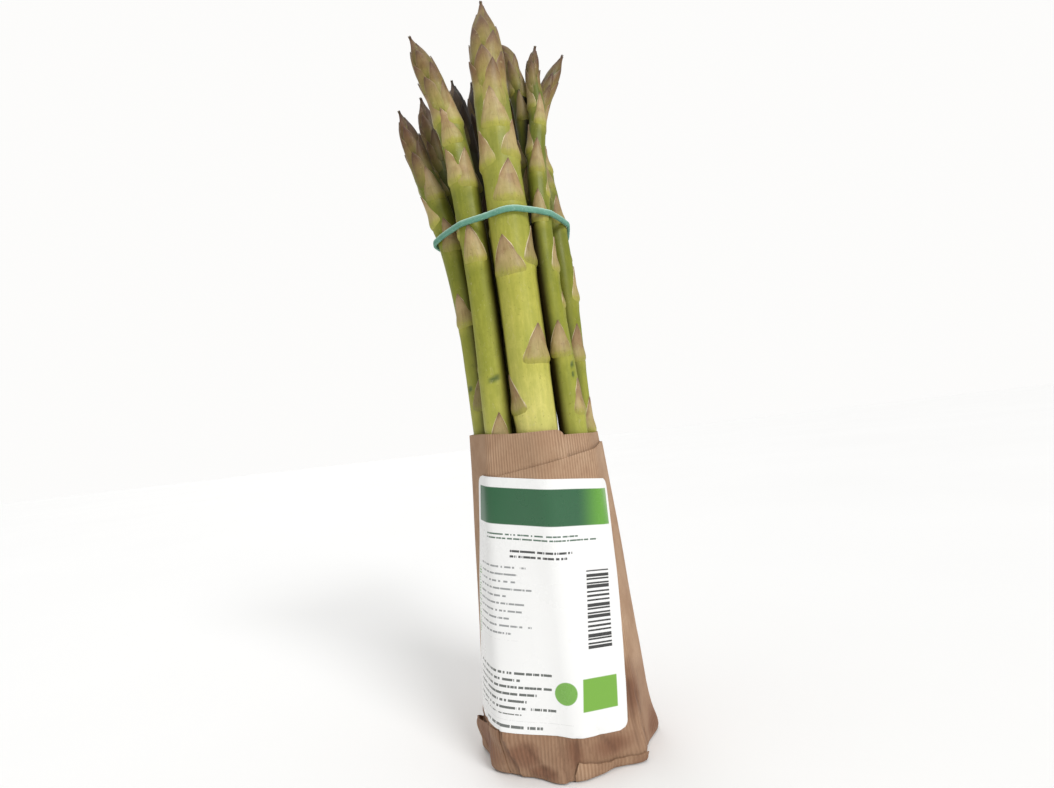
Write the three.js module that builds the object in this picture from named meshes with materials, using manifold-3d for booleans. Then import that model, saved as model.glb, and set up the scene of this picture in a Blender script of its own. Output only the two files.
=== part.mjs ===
// A bunch of green asparagus, standing on its cut ends: twelve spears, a rubber band round them,
// a kraft paper sleeve folded under the stems, and a paper label stuck on the sleeve.
// Millimetres, +Z up. The origin is the centre of the base and the front faces -Y.
import * as THREE from 'three';
import { mergeVertices } from 'three/addons/utils/BufferGeometryUtils.js';
import Module from 'manifold-3d';

const wasm = await Module();
wasm.setup();

// The spears. Each route is the stem's centre line: at the cut end, at the top of the sleeve, at the
// band, at one or more places of the neck, and at the tip. The radii are at the cut end, at the top of
// the sleeve, at the band and at the foot of the bud.
const CUT_END = 1.3;
const SPEARS = {
  front: {
    radii: [7.5, 7.2, 7.1, 6.3],
    route: [[2.0, -19.2, CUT_END], [0.9, -15.3, 108], [-0.9, -17.4, 184], [-1.9, -16.4, 225], [-2.0, -14, 268]],
    turn: 12,
    bracts: [[60, 100], [86, -150], [116.5, -52], [132, 38], [148, 172], [163, -22], [166, 88], [178, -140],
      [188, 14], [201.5, -62], [204, 62], [209, 170], [215, 2]],
  },
  front_left: {
    radii: [5.5, 5.0, 5.0, 4.6],
    route: [[-15.2, -15.8, CUT_END], [-12.5, -12.0, 108], [-14.2, -14.3, 184], [-19.0, -14.2, 225],
      [-29.5, -13.5, 258]],
    turn: 60,
    bracts: [[64, -70], [92, 120], [113, 4], [131, -150], [145, 150], [170, -8], [180, -120], [197, 32],
      [199, -44], [206, 160], [213, -6], [220, 56], [222, -66]],
  },
  left: {
    radii: [5.3, 4.8, 4.7, 4.3],
    route: [[-22.6, -1.8, CUT_END], [-17.6, -1.8, 108], [-23.6, -4.5, 184], [-31.8, -4.2, 215], [-37.8, -4, 236]],
    turn: 200,
    bracts: [[58, -20], [90, -100], [119, 4], [136, -160], [150, -28], [168, 100], [178, 6], [189, -64],
      [198, 20], [203, -150], [206, 120]],
  },
  back_left: {
    radii: [5.2, 4.7, 4.6, 4.2],
    route: [[-19.2, 11.0, CUT_END], [-15.0, 8.3, 108], [-20.4, 6.0, 184], [-26.3, 5.2, 222], [-30.2, 5.0, 246]],
    turn: 330,
    bracts: [[62, -140], [88, 160], [117, -120], [133, 110], [150, -170], [166, -60], [182, 12], [194, 140],
      [203, -40], [210, -150]],
  },
  back_left_hidden: {
    radii: [5.2, 4.6, 4.5, 4.1],
    route: [[-8.4, 20.4, CUT_END], [-6.7, 15.7, 108], [-12.4, 14.9, 184], [-17.5, 15.4, 216], [-21.0, 16.0, 236]],
    turn: 95,
    bracts: [[60, 150], [94, -170], [122, 170], [141, -120], [160, 130], [176, -170], [190, 90], [202, -140]],
  },
  back: {
    radii: [5.1, 4.6, 4.6, 4.3],
    route: [[4.6, 21.6, CUT_END], [3.4, 16.5, 108], [-1.8, 17.4, 184], [-7.2, 14.2, 222], [-9.6, 12.5, 255]],
    turn: 140,
    bracts: [[66, 170], [90, 150], [118, -160], [139, 140], [157, -170], [173, 120], [190, 180], [204, -10],
      [213, 100]],
  },
  back_right: {
    radii: [5.1, 4.6, 4.5, 3.9],
    route: [[18.0, 12.6, CUT_END], [14.6, 9.3, 108], [16.4, 9.2, 184], [14.6, 14.2, 212], [13.5, 16.5, 238]],
    turn: 20,
    bracts: [[60, 110], [92, 150], [120, 80], [141, 160], [158, 60], [175, 130], [192, 84], [203, 170],
      [209, 60]],
  },
  right: {
    radii: [5.3, 4.8, 4.3, 3.4],
    route: [[22.2, -1.6, CUT_END], [17.2, -1.0, 108], [16.1, -1.5, 184], [14.5, 4.0, 206], [13.4, 6.2, 224.5],
      [17.4, 7.0, 237.5], [28.6, 8.0, 259]],
    turn: 250,
    bracts: [[64, 60], [84, 30], [106, 62], [133, 34], [155, 84], [170, 150], [184, 48], [200, 14], [208, 78],
      [216, -20], [226, 60], [231, -40]],
  },
  front_right: {
    radii: [5.4, 4.9, 3.8, 2.8],
    route: [[17.0, -14.6, CUT_END], [13.5, -11.3, 108], [10.6, -13.2, 184], [12.1, -10.5, 210], [14.3, -8.4, 226],
      [14.4, -5.8, 243], [16.9, -4.0, 255.5]],
    turn: 165,
    bracts: [[62, 20], [88, 60], [113, 66], [134, 6], [151, 120], [164, 84], [182, -12], [192, 110], [201, 4],
      [209, -80], [220, 28], [227, -60]],
  },
  inner_left: {
    radii: [5.0, 4.4, 4.4, 4.2],
    route: [[-7.6, 7.4, CUT_END], [-5.2, 5.4, 108], [-9.6, 3.4, 184], [-14.0, 3.4, 222], [-17.0, 4.0, 251]],
    turn: 75,
    bracts: [[70, 0], [112, 170], [142, 20], [168, -150], [188, 30], [202, -20], [212, 110]],
  },
  inner_right: {
    radii: [5.0, 4.4, 4.5, 4.1],
    route: [[6.6, 8.0, CUT_END], [4.7, 5.7, 108], [6.6, 9.6, 184], [5.6, 10.2, 218], [5.4, 10.0, 253]],
    turn: 285,
    bracts: [[72, 120], [116, -30], [144, 160], [170, 140], [190, 100], [204, -160]],
  },
  middle: {
    radii: [4.9, 4.2, 3.9, 3.2],
    route: [[0.0, -5.0, CUT_END], [-0.2, -2.5, 108], [6.4, -3.6, 184], [9.8, -2.7, 212.5], [9.0, -2.5, 234],
      [7.4, -2.2, 246], [3.6, 0.2, 258.5], [-3.0, 2.2, 264]],
    turn: 215,
    bracts: [[74, 90], [118, -100], [147, 30], [172, 170], [194, -30], [207, -75], [213, 120], [226, -5],
      [235, 60], [237, -90]],
  },
};
const STEM_SIDES = 8;
const STEM_STEP = 26;
const LEAST_RADIUS = 0.35;
const TANGENT_REACH = 0.5;
const HEAD_SWELL = 1.06;
const HEAD_TAPER = 4.0;
const HEAD_LENGTH = 6.2;

// The bud's scales stand in rows of two, each row turned a quarter from the one below. The rows crowd
// towards the tip, and each edge stands out by its lift and steps in to the row behind.
const BUD = {
  rows: 7, crowding: 1.12, bareTip: 1.6, footRise: 0.6, lift: 0.3, liftAtFoot: 0.3, step: 0.75, stepRise: 0.2,
  fade: 0.5, twist: 5, edge: [1, 0.62, 0],
};

// A bract is a pointed blade that wraps the stem, widest a little above its foot. Thick stems carry
// slightly longer ones.
const BRACT = {
  length: 9.6, lengthPerRadius: 0.5, spread: 54, lift: 0.95, sideFall: 0.55, tipLift: 0.35, tipDrop: 0.3, columns: 3,
};
const BRACT_ROWS = [
  { along: 0, width: 0.82, lift: 0.35 },
  { along: 0.16, width: 1, lift: 1 },
  { along: 0.6, width: 0.62, lift: 0.85 },
];
const ROOT_SINK = 0.9;
const ROOT_LEAST_RADIUS = 0.2;
const NEIGHBOUR_GAP = 0.32;
const LEAST_LIFT = 0.2;

// The rubber band lies in a slightly tilted plane round the spears.
const BAND = { height: 183.3, slopeX: 0.05, slopeY: -0.03, middleX: -3.5, gap: 0.45, thickness: 1.15, width: 2.4 };
const BAND_CENTRE = [-3.5, -1.0];
const BAND_COLUMNS = 48;
const BAND_SECTION = [[0, -0.5], [0, 0.5], [0.75, 0.5], [1, 0], [0.75, -0.5]];

// Near the band the bracts lie flat: from this many band widths away they may stand off more and more.
const BAND_CLEAR = 1.5;
const BAND_EASE = 0.2;

// A stretched outline is found from directions up to this far to each side, in steps.
const SWING = { reach: 60, step: 3 };

// The sleeve: an inner ply all round, a flap over it from the left, and an outer ply whose top edge
// falls from right to left.
const PAPER_GAP = 0.4;
const PLY = 0.75;
const FLAP_STEP = 0.45;
const FLAP_TOP = 108.6;
const FLAP_TOP_RISE = 0.018;
const BACK_TOP = 106.4;
const FLAP_EDGE = 24;
const FLAP_EDGE_HALF = 0.7;
const FLAP_ROOT = -100;
const OUTER_PLY_STEP = 0.45;
const OUTER_EDGE = { right: 102.5, left: 94.0, from: 78, to: -56 };
const OUTER_EDGE_FALL = { depth: 8, over: 60 };
const OUTER_EDGE_SLOPE = 0.3;
const SLEEVE_FLOOR = 0.9;
const SLEEVE_COLUMNS = 60;
const OUTLINE_STEP = 3;
const SLEEVE_LEVELS = [0, 13, 42, 75, 108.6];
const WALL_LEVELS = [4.5, 13, 42, 75];

// Where the paper stands off the stems: an azimuth, half the width of the bulge, and how far it stands
// out at each of the sleeve's levels.
const SLACK = [
  { at: -50, half: 48, amounts: [0, 3.8, 3.0, 1.5, 0] },
  { at: -100, half: 52, amounts: [0.6, 0.6, 0.8, 1.6, 0.5] },
  { at: 82, half: 60, amounts: [0.6, 0.9, 1.1, 0.8, 0] },
];

// The folded base: small gathers, and corners and hollows that fade out upwards.
const BASE_INSET = 0.7;
const RIM_INSET = 0.2;
const RIM_HEIGHT = 1.3;
const FOLD_HEIGHT = 14;
const GATHERS = { count: 11, depth: 0.4 };
const BASE_CORNERS = [
  { at: -9, half: 14, out: 1.3 },
  { at: -57, half: 14, out: 2.2 },
  { at: -38, half: 15, out: -0.8 },
  { at: 13, half: 15, out: -0.8 },
  { at: 30, half: 13, out: -0.8 },
  { at: 47, half: 12, out: 1.2 },
  { at: 88, half: 26, out: 1.4 },
];

// The label, turned a little clockwise on the sleeve.
const LABEL = {
  width: 55, height: 79.5, corner: 3, turn: 6.7, thickness: 0.6, gap: 0.4, bridge: 7,
  middleAngle: -7.5, middleHeight: 53.5, columns: 14, rows: 7,
};

const COLOURS = {
  spear: { color: 0x9a9f4e, roughness: 0.5, metalness: 0 },
  band: { color: 0x57a088, roughness: 0.6, metalness: 0 },
  sleeve: { color: 0xb08d70, roughness: 0.85, metalness: 0 },
  label: { color: 0xf1f1ee, roughness: 0.35, metalness: 0 },
};

const rad = THREE.MathUtils.degToRad;
const clamp = THREE.MathUtils.clamp;
const smooth = (value, low, high) => THREE.MathUtils.smoothstep(value, low, high);

// A rounded bump, 1 at an azimuth and 0 from half its width outwards.
function bump(degrees, at, half) {
  const apart = Math.abs(((degrees - at + 540) % 360) - 180);
  return apart < half ? 0.5 + 0.5 * Math.cos((Math.PI * apart) / half) : 0;
}

// A direction in plan: 0 degrees faces the front, 90 degrees faces +X.
function facing(degrees) {
  return new THREE.Vector3(Math.sin(rad(degrees)), -Math.cos(rad(degrees)), 0);
}

// A centre line as a smooth function of height through a spear's route.
function centreAt(route, height) {
  const z = clamp(height, route[0][2], route[route.length - 1][2]);
  const last = route.length - 2;
  let i = 0;
  while (i < last && route[i + 1][2] <= z) i += 1;
  const rise = route[i + 1][2] - route[i][2];
  const t = (z - route[i][2]) / rise;
  const at = (axis) => {
    const start = route[i][axis];
    const end = route[i + 1][axis];
    const leave = slopeAt(route, i, axis) * rise;
    const arrive = slopeAt(route, i + 1, axis) * rise;
    const cube = t * t * t;
    const square = t * t;
    return (2 * cube - 3 * square + 1) * start + (cube - 2 * square + t) * leave
      + (3 * square - 2 * cube) * end + (cube - square) * arrive;
  };
  return new THREE.Vector3(at(0), at(1), z);
}

function slopeAt(route, i, axis) {
  const between = (a, b) => (route[b][axis] - route[a][axis]) / (route[b][2] - route[a][2]);
  if (i === 0) return between(0, 1);
  if (i === route.length - 1) return between(i - 1, i);
  const below = route[i][2] - route[i - 1][2];
  const above = route[i + 1][2] - route[i][2];
  return (between(i - 1, i) * above + between(i, i + 1) * below) / (below + above);
}

// The outside of a spear at a height: the stem tapers to its neck, then the bud swells and closes.
function radiusAt(spear, height) {
  const { radii, route } = spear;
  const tip = route[route.length - 1][2];
  const head = radii[3] * HEAD_SWELL;
  const taper = head * HEAD_TAPER;
  const below = tip - height;
  if (below < taper) {
    const open = 1 - clamp(below, 0, taper) / taper;
    return head * (1 - open * open);
  }
  const neck = tip - radii[3] * HEAD_LENGTH;
  const places = [route[0][2], route[1][2], route[2][2], neck, tip - taper];
  const sizes = [radii[0], radii[1], radii[2], radii[3], head];
  let i = 0;
  while (i < 3 && places[i + 1] < height) i += 1;
  const t = clamp((height - places[i]) / (places[i + 1] - places[i]), 0, 1);
  return sizes[i] + (sizes[i + 1] - sizes[i]) * t;
}

// The frame of the stem at a height: its centre, its direction, and the way out at an azimuth.
function frameAt(spear, height) {
  const centre = centreAt(spear.route, height);
  const ahead = centreAt(spear.route, height + TANGENT_REACH);
  const behind = centreAt(spear.route, height - TANGENT_REACH);
  const along = ahead.sub(behind).normalize();
  const side = new THREE.Vector3(0, 1, 0).cross(along).normalize();
  const front = side.clone().cross(along).normalize();
  const out = (degrees) => side.clone().multiplyScalar(Math.sin(rad(degrees)))
    .add(front.clone().multiplyScalar(Math.cos(rad(degrees))));
  return { centre, along, out };
}

// How far a point on one spear is from whatever lies next to it.
function roomAt(name, point) {
  let room = Infinity;
  for (const [other, spear] of Object.entries(SPEARS)) {
    if (other === name) continue;
    const top = spear.route[spear.route.length - 1][2];
    if (point.z > top) continue;
    const centre = centreAt(spear.route, point.z);
    const reach = Math.hypot(point.x - centre.x, point.y - centre.y) - radiusAt(spear, point.z);
    room = Math.min(room, (reach - NEIGHBOUR_GAP) / 2);
  }
  const fromBand = Math.abs(point.z - bandHeightAt(point.x, point.y));
  room = Math.min(room, LEAST_LIFT + BAND_EASE * Math.max(fromBand - BAND_CLEAR * BAND.width, 0));
  if (point.z < FLAP_TOP + 1) room = Math.min(room, LEAST_LIFT);
  return room;
}

function bandHeightAt(x, y) {
  return BAND.height + BAND.slopeX * (x - BAND.middleX) + BAND.slopeY * y;
}

// A closed mesh from points and triangles, turned so that its faces point out.
function closedMesh(points, triangles) {
  const geometry = new THREE.BufferGeometry();
  const flat = points.flatMap((point) => [point.x, point.y, point.z]);
  geometry.setAttribute('position', new THREE.Float32BufferAttribute(flat, 3));
  let volume = 0;
  for (const [a, b, c] of triangles) {
    volume += points[a].dot(points[b].clone().cross(points[c]));
  }
  const turned = volume > 0 ? triangles : triangles.map(([a, b, c]) => [a, c, b]);
  geometry.setIndex(turned.flat());
  return geometry;
}

// Rings of points joined into a tube with closed ends. The upper end may come to a point.
function loft(rings, apex) {
  const sides = rings[0].length;
  const points = rings.flat();
  const triangles = [];
  for (let ring = 0; ring + 1 < rings.length; ring += 1) {
    for (let side = 0; side < sides; side += 1) {
      const next = (side + 1) % sides;
      const a = ring * sides + side;
      const b = ring * sides + next;
      triangles.push([a, b, b + sides], [a, b + sides, a + sides]);
    }
  }
  const middle = (ring) => ring.reduce((sum, point) => sum.add(point), new THREE.Vector3()).divideScalar(sides);
  const bottom = points.push(middle(rings[0])) - 1;
  const top = points.push(apex ?? middle(rings[rings.length - 1])) - 1;
  const lastRing = (rings.length - 1) * sides;
  for (let side = 0; side < sides; side += 1) {
    const next = (side + 1) % sides;
    triangles.push([bottom, next, side], [top, lastRing + side, lastRing + next]);
  }
  return closedMesh(points, triangles);
}

function toSolid(geometry) {
  const merged = mergeVertices(geometry, 1e-4);
  return new wasm.Manifold(new wasm.Mesh({
    numProp: 3,
    vertProperties: Float32Array.from(merged.attributes.position.array),
    triVerts: Uint32Array.from(merged.index.array),
  }));
}

// The outer shell of a solid: sealed hollows are filled and loose scraps dropped.
function outerShell(solid) {
  const mesh = solid.getMesh();
  const count = mesh.vertProperties.length / mesh.numProp;
  const owner = Array.from({ length: count }, (_, i) => i);
  const find = (i) => {
    let root = i;
    while (owner[root] !== root) root = owner[root];
    owner[i] = root;
    return root;
  };
  const triangles = [];
  for (let i = 0; i < mesh.triVerts.length; i += 3) {
    const [a, b, c] = mesh.triVerts.slice(i, i + 3);
    owner[find(a)] = find(b);
    owner[find(b)] = find(c);
    triangles.push([a, b, c]);
  }
  const sizes = new Map();
  for (const triangle of triangles) {
    const root = find(triangle[0]);
    sizes.set(root, (sizes.get(root) ?? 0) + 1);
  }
  const largest = [...sizes.entries()].sort((a, b) => b[1] - a[1])[0][0];
  const geometry = new THREE.BufferGeometry();
  geometry.setAttribute('position', new THREE.BufferAttribute(Float32Array.from(mesh.vertProperties), 3));
  geometry.setIndex(triangles.filter((triangle) => find(triangle[0]) === largest).flat());
  return mergeVertices(geometry.toNonIndexed(), 1e-4);
}

// One ring of the stem. Each corner has its own height and its own distance from the skin.
function stemRing(spear, twist, corner) {
  return Array.from({ length: STEM_SIDES }, (_, side) => {
    const { height, lift } = corner(side);
    const { centre, out } = frameAt(spear, height);
    const radius = Math.max(radiusAt(spear, height) + lift, LEAST_RADIUS);
    return out(spear.turn + twist + (360 * side) / STEM_SIDES).multiplyScalar(radius).add(centre);
  });
}

// The stem, and above it the bud. Each row of scales rises to its pointed edge and then steps in to
// the row behind, so that the scales overlap up to the tip.
function stemGeometry(spear) {
  const tip = spear.route[spear.route.length - 1][2];
  const budLength = spear.radii[3] * HEAD_LENGTH;
  const budFoot = tip - budLength;
  const steps = Math.round((budFoot - CUT_END) / STEM_STEP);
  const rings = [];
  for (let i = 0; i <= steps; i += 1) {
    const height = CUT_END + (budFoot - CUT_END) * (i / steps);
    rings.push(stemRing(spear, 0, () => ({ height, lift: 0 })));
  }
  rings[0].forEach((point) => point.setZ(CUT_END));
  const rowFoot = (row) => budFoot + (budLength - BUD.bareTip) * (1 - Math.pow(1 - row / BUD.rows, BUD.crowding));
  for (let row = 0; row < BUD.rows; row += 1) {
    const foot = rowFoot(row) + BUD.footRise;
    const rise = rowFoot(row + 1) - foot;
    const near = 1 - BUD.fade * (row / BUD.rows);
    const reach = (side) => BUD.edge[Math.abs(((side + 2 * row) % 4) - 2)];
    const edge = (side) => ({
      height: foot + rise * reach(side),
      lift: BUD.lift * near * (BUD.liftAtFoot + reach(side)),
    });
    const behind = (side) => ({
      height: edge(side).height + BUD.stepRise,
      lift: -BUD.step * near * reach(side),
    });
    rings.push(stemRing(spear, BUD.twist * row, edge));
    rings.push(stemRing(spear, BUD.twist * row, behind));
  }
  return loft(rings, centreAt(spear.route, tip));
}

// One bract. It widens from its foot, then narrows to its tip, and its inner face is sunk in the stem.
function bractGeometry(name, spear, foot, azimuth, length) {
  const rows = BRACT_ROWS;
  const tipHeight = Math.min(foot + length, spear.route[spear.route.length - 1][2] - BRACT.tipDrop);
  const reach = tipHeight - foot;
  const points = [];
  const place = (along, angle, lift) => {
    const height = foot + reach * along;
    const { centre, out } = frameAt(spear, height);
    const radius = radiusAt(spear, height);
    const way = out(angle);
    const skin = way.clone().multiplyScalar(radius).add(centre);
    const rise = Math.max(Math.min(lift, roomAt(name, skin)), LEAST_LIFT);
    points.push(skin.addScaledVector(way, rise));
    return way.multiplyScalar(Math.max(radius - ROOT_SINK, ROOT_LEAST_RADIUS)).add(centre);
  };
  const inner = [];
  for (const row of rows) {
    for (let column = 0; column < BRACT.columns; column += 1) {
      const across = (2 * column) / (BRACT.columns - 1) - 1;
      const angle = azimuth + across * row.width * BRACT.spread;
      const lift = BRACT.lift * row.lift * (1 - BRACT.sideFall * across * across);
      inner.push(place(row.along, angle, lift));
    }
  }
  inner.push(place(1, azimuth, BRACT.tipLift));
  const half = points.length;
  points.push(...inner);
  const columns = BRACT.columns;
  const tip = half - 1;
  const triangles = [];
  const both = (a, b, c) => triangles.push([a, b, c], [a + half, c + half, b + half]);
  for (let row = 0; row + 1 < rows.length; row += 1) {
    for (let column = 0; column + 1 < columns; column += 1) {
      const a = row * columns + column;
      both(a, a + 1, a + 1 + columns);
      both(a, a + 1 + columns, a + columns);
    }
  }
  const lastRow = (rows.length - 1) * columns;
  for (let column = 0; column + 1 < columns; column += 1) both(lastRow + column, lastRow + column + 1, tip);
  const rim = [];
  for (let column = 0; column < columns; column += 1) rim.push(column);
  for (let row = 1; row < rows.length; row += 1) rim.push(row * columns + columns - 1);
  rim.push(tip);
  for (let row = rows.length - 1; row > 0; row -= 1) rim.push(row * columns);
  rim.forEach((a, i) => {
    const b = rim[(i + 1) % rim.length];
    triangles.push([b, a, a + half], [b, a + half, b + half]);
  });
  return closedMesh(points, triangles);
}

function spearGeometry(name, spear) {
  let solid = toSolid(stemGeometry(spear));
  for (const [foot, azimuth] of spear.bracts) {
    const length = BRACT.length + BRACT.lengthPerRadius * radiusAt(spear, foot);
    solid = solid.add(toSolid(bractGeometry(name, spear, foot, azimuth, length)));
  }
  return outerShell(solid);
}

// How far the bunch reaches from a centre at one height, in every direction of a full turn: the
// outline of something stretched round the spears.
function stretchedOutline(height, centre, directions) {
  const reachTowards = (degrees) => {
    const way = facing(degrees);
    let reach = 0;
    for (const spear of Object.values(SPEARS)) {
      if (height > spear.route[spear.route.length - 1][2]) continue;
      const at = centreAt(spear.route, height);
      const push = (at.x - centre[0]) * way.x + (at.y - centre[1]) * way.y + radiusAt(spear, height);
      reach = Math.max(reach, push);
    }
    return reach;
  };
  return directions.map((degrees) => {
    let best = Infinity;
    for (let swing = -SWING.reach; swing <= SWING.reach; swing += SWING.step) {
      best = Math.min(best, reachTowards(degrees + swing) / Math.cos(rad(swing)));
    }
    return best;
  });
}

function ringDirections(count) {
  return Array.from({ length: count }, (_, i) => (360 * i) / count);
}

function bandGeometry() {
  const directions = ringDirections(BAND_COLUMNS);
  const level = stretchedOutline(BAND.height, BAND_CENTRE, directions);
  const points = [];
  directions.forEach((degrees, i) => {
    const at = facing(degrees).multiplyScalar(level[i]);
    const height = bandHeightAt(at.x + BAND_CENTRE[0], at.y + BAND_CENTRE[1]);
    const inside = Math.max(...[-0.5, 0.5].map((up) => (
      stretchedOutline(height + BAND.width * up, BAND_CENTRE, [degrees])[0])));
    for (const [out, up] of BAND_SECTION) {
      const radius = inside + BAND.gap + BAND.thickness * out;
      const point = facing(degrees).multiplyScalar(radius);
      point.x += BAND_CENTRE[0];
      point.y += BAND_CENTRE[1];
      point.z = bandHeightAt(point.x, point.y) + BAND.width * up;
      points.push(point);
    }
  });
  const size = BAND_SECTION.length;
  const triangles = [];
  directions.forEach((_, i) => {
    const here = i * size;
    const there = ((i + 1) % directions.length) * size;
    for (let k = 0; k < size; k += 1) {
      const next = (k + 1) % size;
      triangles.push([here + k, there + k, there + next], [here + k, there + next, here + next]);
    }
  });
  return closedMesh(points, triangles);
}

// The sleeve's inner radius: the bunch's outline at a few levels with the paper's slack, a little clear
// of it, and straight paper between them.
const levelOutlines = SLEEVE_LEVELS.map((level, i) => {
  const directions = ringDirections(360 / OUTLINE_STEP);
  const outline = stretchedOutline(Math.max(level, CUT_END), [0, 0], directions);
  const slackAt = (degrees) => SLACK.reduce((sum, { at, half, amounts }) => (
    sum + amounts[i] * bump(degrees, at, half)), 0);
  return outline.map((reach, k) => reach + slackAt(directions[k]));
});
function sleeveInside(height, degrees) {
  let i = 0;
  while (i < SLEEVE_LEVELS.length - 2 && SLEEVE_LEVELS[i + 1] < height) i += 1;
  const up = (height - SLEEVE_LEVELS[i]) / (SLEEVE_LEVELS[i + 1] - SLEEVE_LEVELS[i]);
  const place = (((degrees % 360) + 360) % 360) / OUTLINE_STEP;
  const column = Math.floor(place);
  const share = place - column;
  const around = (outline) => outline[column] * (1 - share) + outline[(column + 1) % outline.length] * share;
  return around(levelOutlines[i]) * (1 - up) + around(levelOutlines[i + 1]) * up + LEAST_LIFT + PAPER_GAP;
}

// How far the folds of the base push the paper out or in.
function foldAt(height, degrees) {
  const fade = 1 - smooth(height, RIM_HEIGHT, FOLD_HEIGHT);
  const gathers = GATHERS.depth * Math.abs(Math.sin(rad((degrees * GATHERS.count) / 2)));
  const corners = BASE_CORNERS.reduce((sum, { at, half, out }) => sum + out * bump(degrees, at, half), 0);
  return fade * (gathers + corners);
}

// The turned height of the outer ply's slanting top edge.
function outerEdgeAt(degrees) {
  const turn = degrees > 180 ? degrees - 360 : degrees;
  const share = clamp((OUTER_EDGE.from - turn) / (OUTER_EDGE.from - OUTER_EDGE.to), 0, 1);
  const height = OUTER_EDGE.right + (OUTER_EDGE.left - OUTER_EDGE.right) * share;
  const past = turn < OUTER_EDGE.to ? smooth(OUTER_EDGE.to - turn, 0, OUTER_EDGE_FALL.over) : 0;
  return height - past * OUTER_EDGE_FALL.depth;
}

// The top of the sleeve: the flap rises a little to the left, and the ply behind it is lower.
function topAt(degrees) {
  const turn = degrees > 180 ? degrees - 360 : degrees;
  return onFlap(degrees) ? FLAP_TOP + FLAP_TOP_RISE * (FLAP_EDGE - turn) : BACK_TOP;
}

function onFlap(degrees) {
  const turn = degrees > 180 ? degrees - 360 : degrees;
  return turn > FLAP_ROOT && turn <= FLAP_EDGE ? 1 : 0;
}

function sleeveGeometry() {
  const directions = ringDirections(SLEEVE_COLUMNS)
    .flatMap((degrees) => (degrees === FLAP_EDGE ? [degrees - FLAP_EDGE_HALF, degrees + FLAP_EDGE_HALF] : [degrees]));
  const rings = [];
  const ring = (place) => rings.push(directions.map((degrees) => {
    const { radius, height } = place(degrees);
    return facing(degrees).multiplyScalar(radius).setZ(height);
  }));
  const wall = (height, degrees, outer) => sleeveInside(height, degrees) + PLY + FLAP_STEP * onFlap(degrees)
    + OUTER_PLY_STEP * outer + foldAt(height, degrees);
  ring((degrees) => ({ radius: wall(0, degrees, 1) - BASE_INSET, height: 0 }));
  ring((degrees) => ({ radius: wall(RIM_HEIGHT, degrees, 1) - RIM_INSET, height: RIM_HEIGHT }));
  for (const height of WALL_LEVELS) {
    ring((degrees) => ({ radius: wall(height, degrees, 1), height }));
  }
  ring((degrees) => ({
    radius: wall(outerEdgeAt(degrees), degrees, 1),
    height: outerEdgeAt(degrees),
  }));
  ring((degrees) => ({
    radius: wall(outerEdgeAt(degrees), degrees, 0),
    height: outerEdgeAt(degrees) + OUTER_EDGE_SLOPE,
  }));
  ring((degrees) => ({ radius: wall(topAt(degrees), degrees, 0), height: topAt(degrees) }));
  ring((degrees) => ({ radius: sleeveInside(topAt(degrees), degrees), height: topAt(degrees) }));
  for (const height of SLEEVE_LEVELS.slice(1, 4).reverse()) {
    ring((degrees) => ({ radius: sleeveInside(height, degrees), height }));
  }
  ring((degrees) => ({ radius: sleeveInside(0, degrees), height: SLEEVE_FLOOR }));
  return loft(rings);
}

// The label follows the sleeve. Its own axes are across and up, before it is turned.
function labelGeometry() {
  const { columns, rows } = LABEL;
  const turn = rad(LABEL.turn);
  const arcAt = (height) => sleeveInside(height, LABEL.middleAngle) + PLY;
  const outer = [];
  const inner = [];
  for (let row = 0; row <= rows; row += 1) {
    const up = LABEL.height * (row / rows - 0.5);
    const edge = LABEL.height / 2 - Math.abs(up);
    const toCorner = Math.max(LABEL.corner - edge, 0);
    const half = LABEL.width / 2 - LABEL.corner + Math.sqrt(LABEL.corner ** 2 - toCorner ** 2);
    for (let column = 0; column <= columns; column += 1) {
      const across = half * ((2 * column) / columns - 1);
      const height = LABEL.middleHeight + up * Math.cos(turn) - across * Math.sin(turn);
      const along = across * Math.cos(turn) + up * Math.sin(turn);
      const degrees = LABEL.middleAngle + THREE.MathUtils.radToDeg(along / arcAt(height));
      const skin = Math.max(...[-LABEL.bridge, 0, LABEL.bridge].map((aside) => (
        sleeveInside(height, degrees + aside) + foldAt(height, degrees + aside)
      ))) + PLY + FLAP_STEP + OUTER_PLY_STEP;
      const at = (radius) => facing(degrees).multiplyScalar(radius).setZ(height);
      inner.push(at(skin + LABEL.gap));
      outer.push(at(skin + LABEL.gap + LABEL.thickness));
    }
  }
  const points = [...outer, ...inner];
  const half = outer.length;
  const width = columns + 1;
  const triangles = [];
  for (let row = 0; row < rows; row += 1) {
    for (let column = 0; column < columns; column += 1) {
      const a = row * width + column;
      for (const [p, q, r] of [[a, a + 1, a + 1 + width], [a, a + 1 + width, a + width]]) {
        triangles.push([p, q, r], [p + half, r + half, q + half]);
      }
    }
  }
  const rim = [];
  for (let column = 0; column < columns; column += 1) rim.push(column);
  for (let row = 0; row < rows; row += 1) rim.push(row * width + columns);
  for (let column = columns; column > 0; column -= 1) rim.push(rows * width + column);
  for (let row = rows; row > 0; row -= 1) rim.push(row * width);
  rim.forEach((a, i) => {
    const b = rim[(i + 1) % rim.length];
    triangles.push([b, a, a + half], [b, a + half, b + half]);
  });
  return closedMesh(points, triangles);
}

function piece(name, geometry, colour) {
  const mesh = new THREE.Mesh(geometry, new THREE.MeshStandardMaterial(COLOURS[colour]));
  mesh.name = name;
  return mesh;
}

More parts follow.
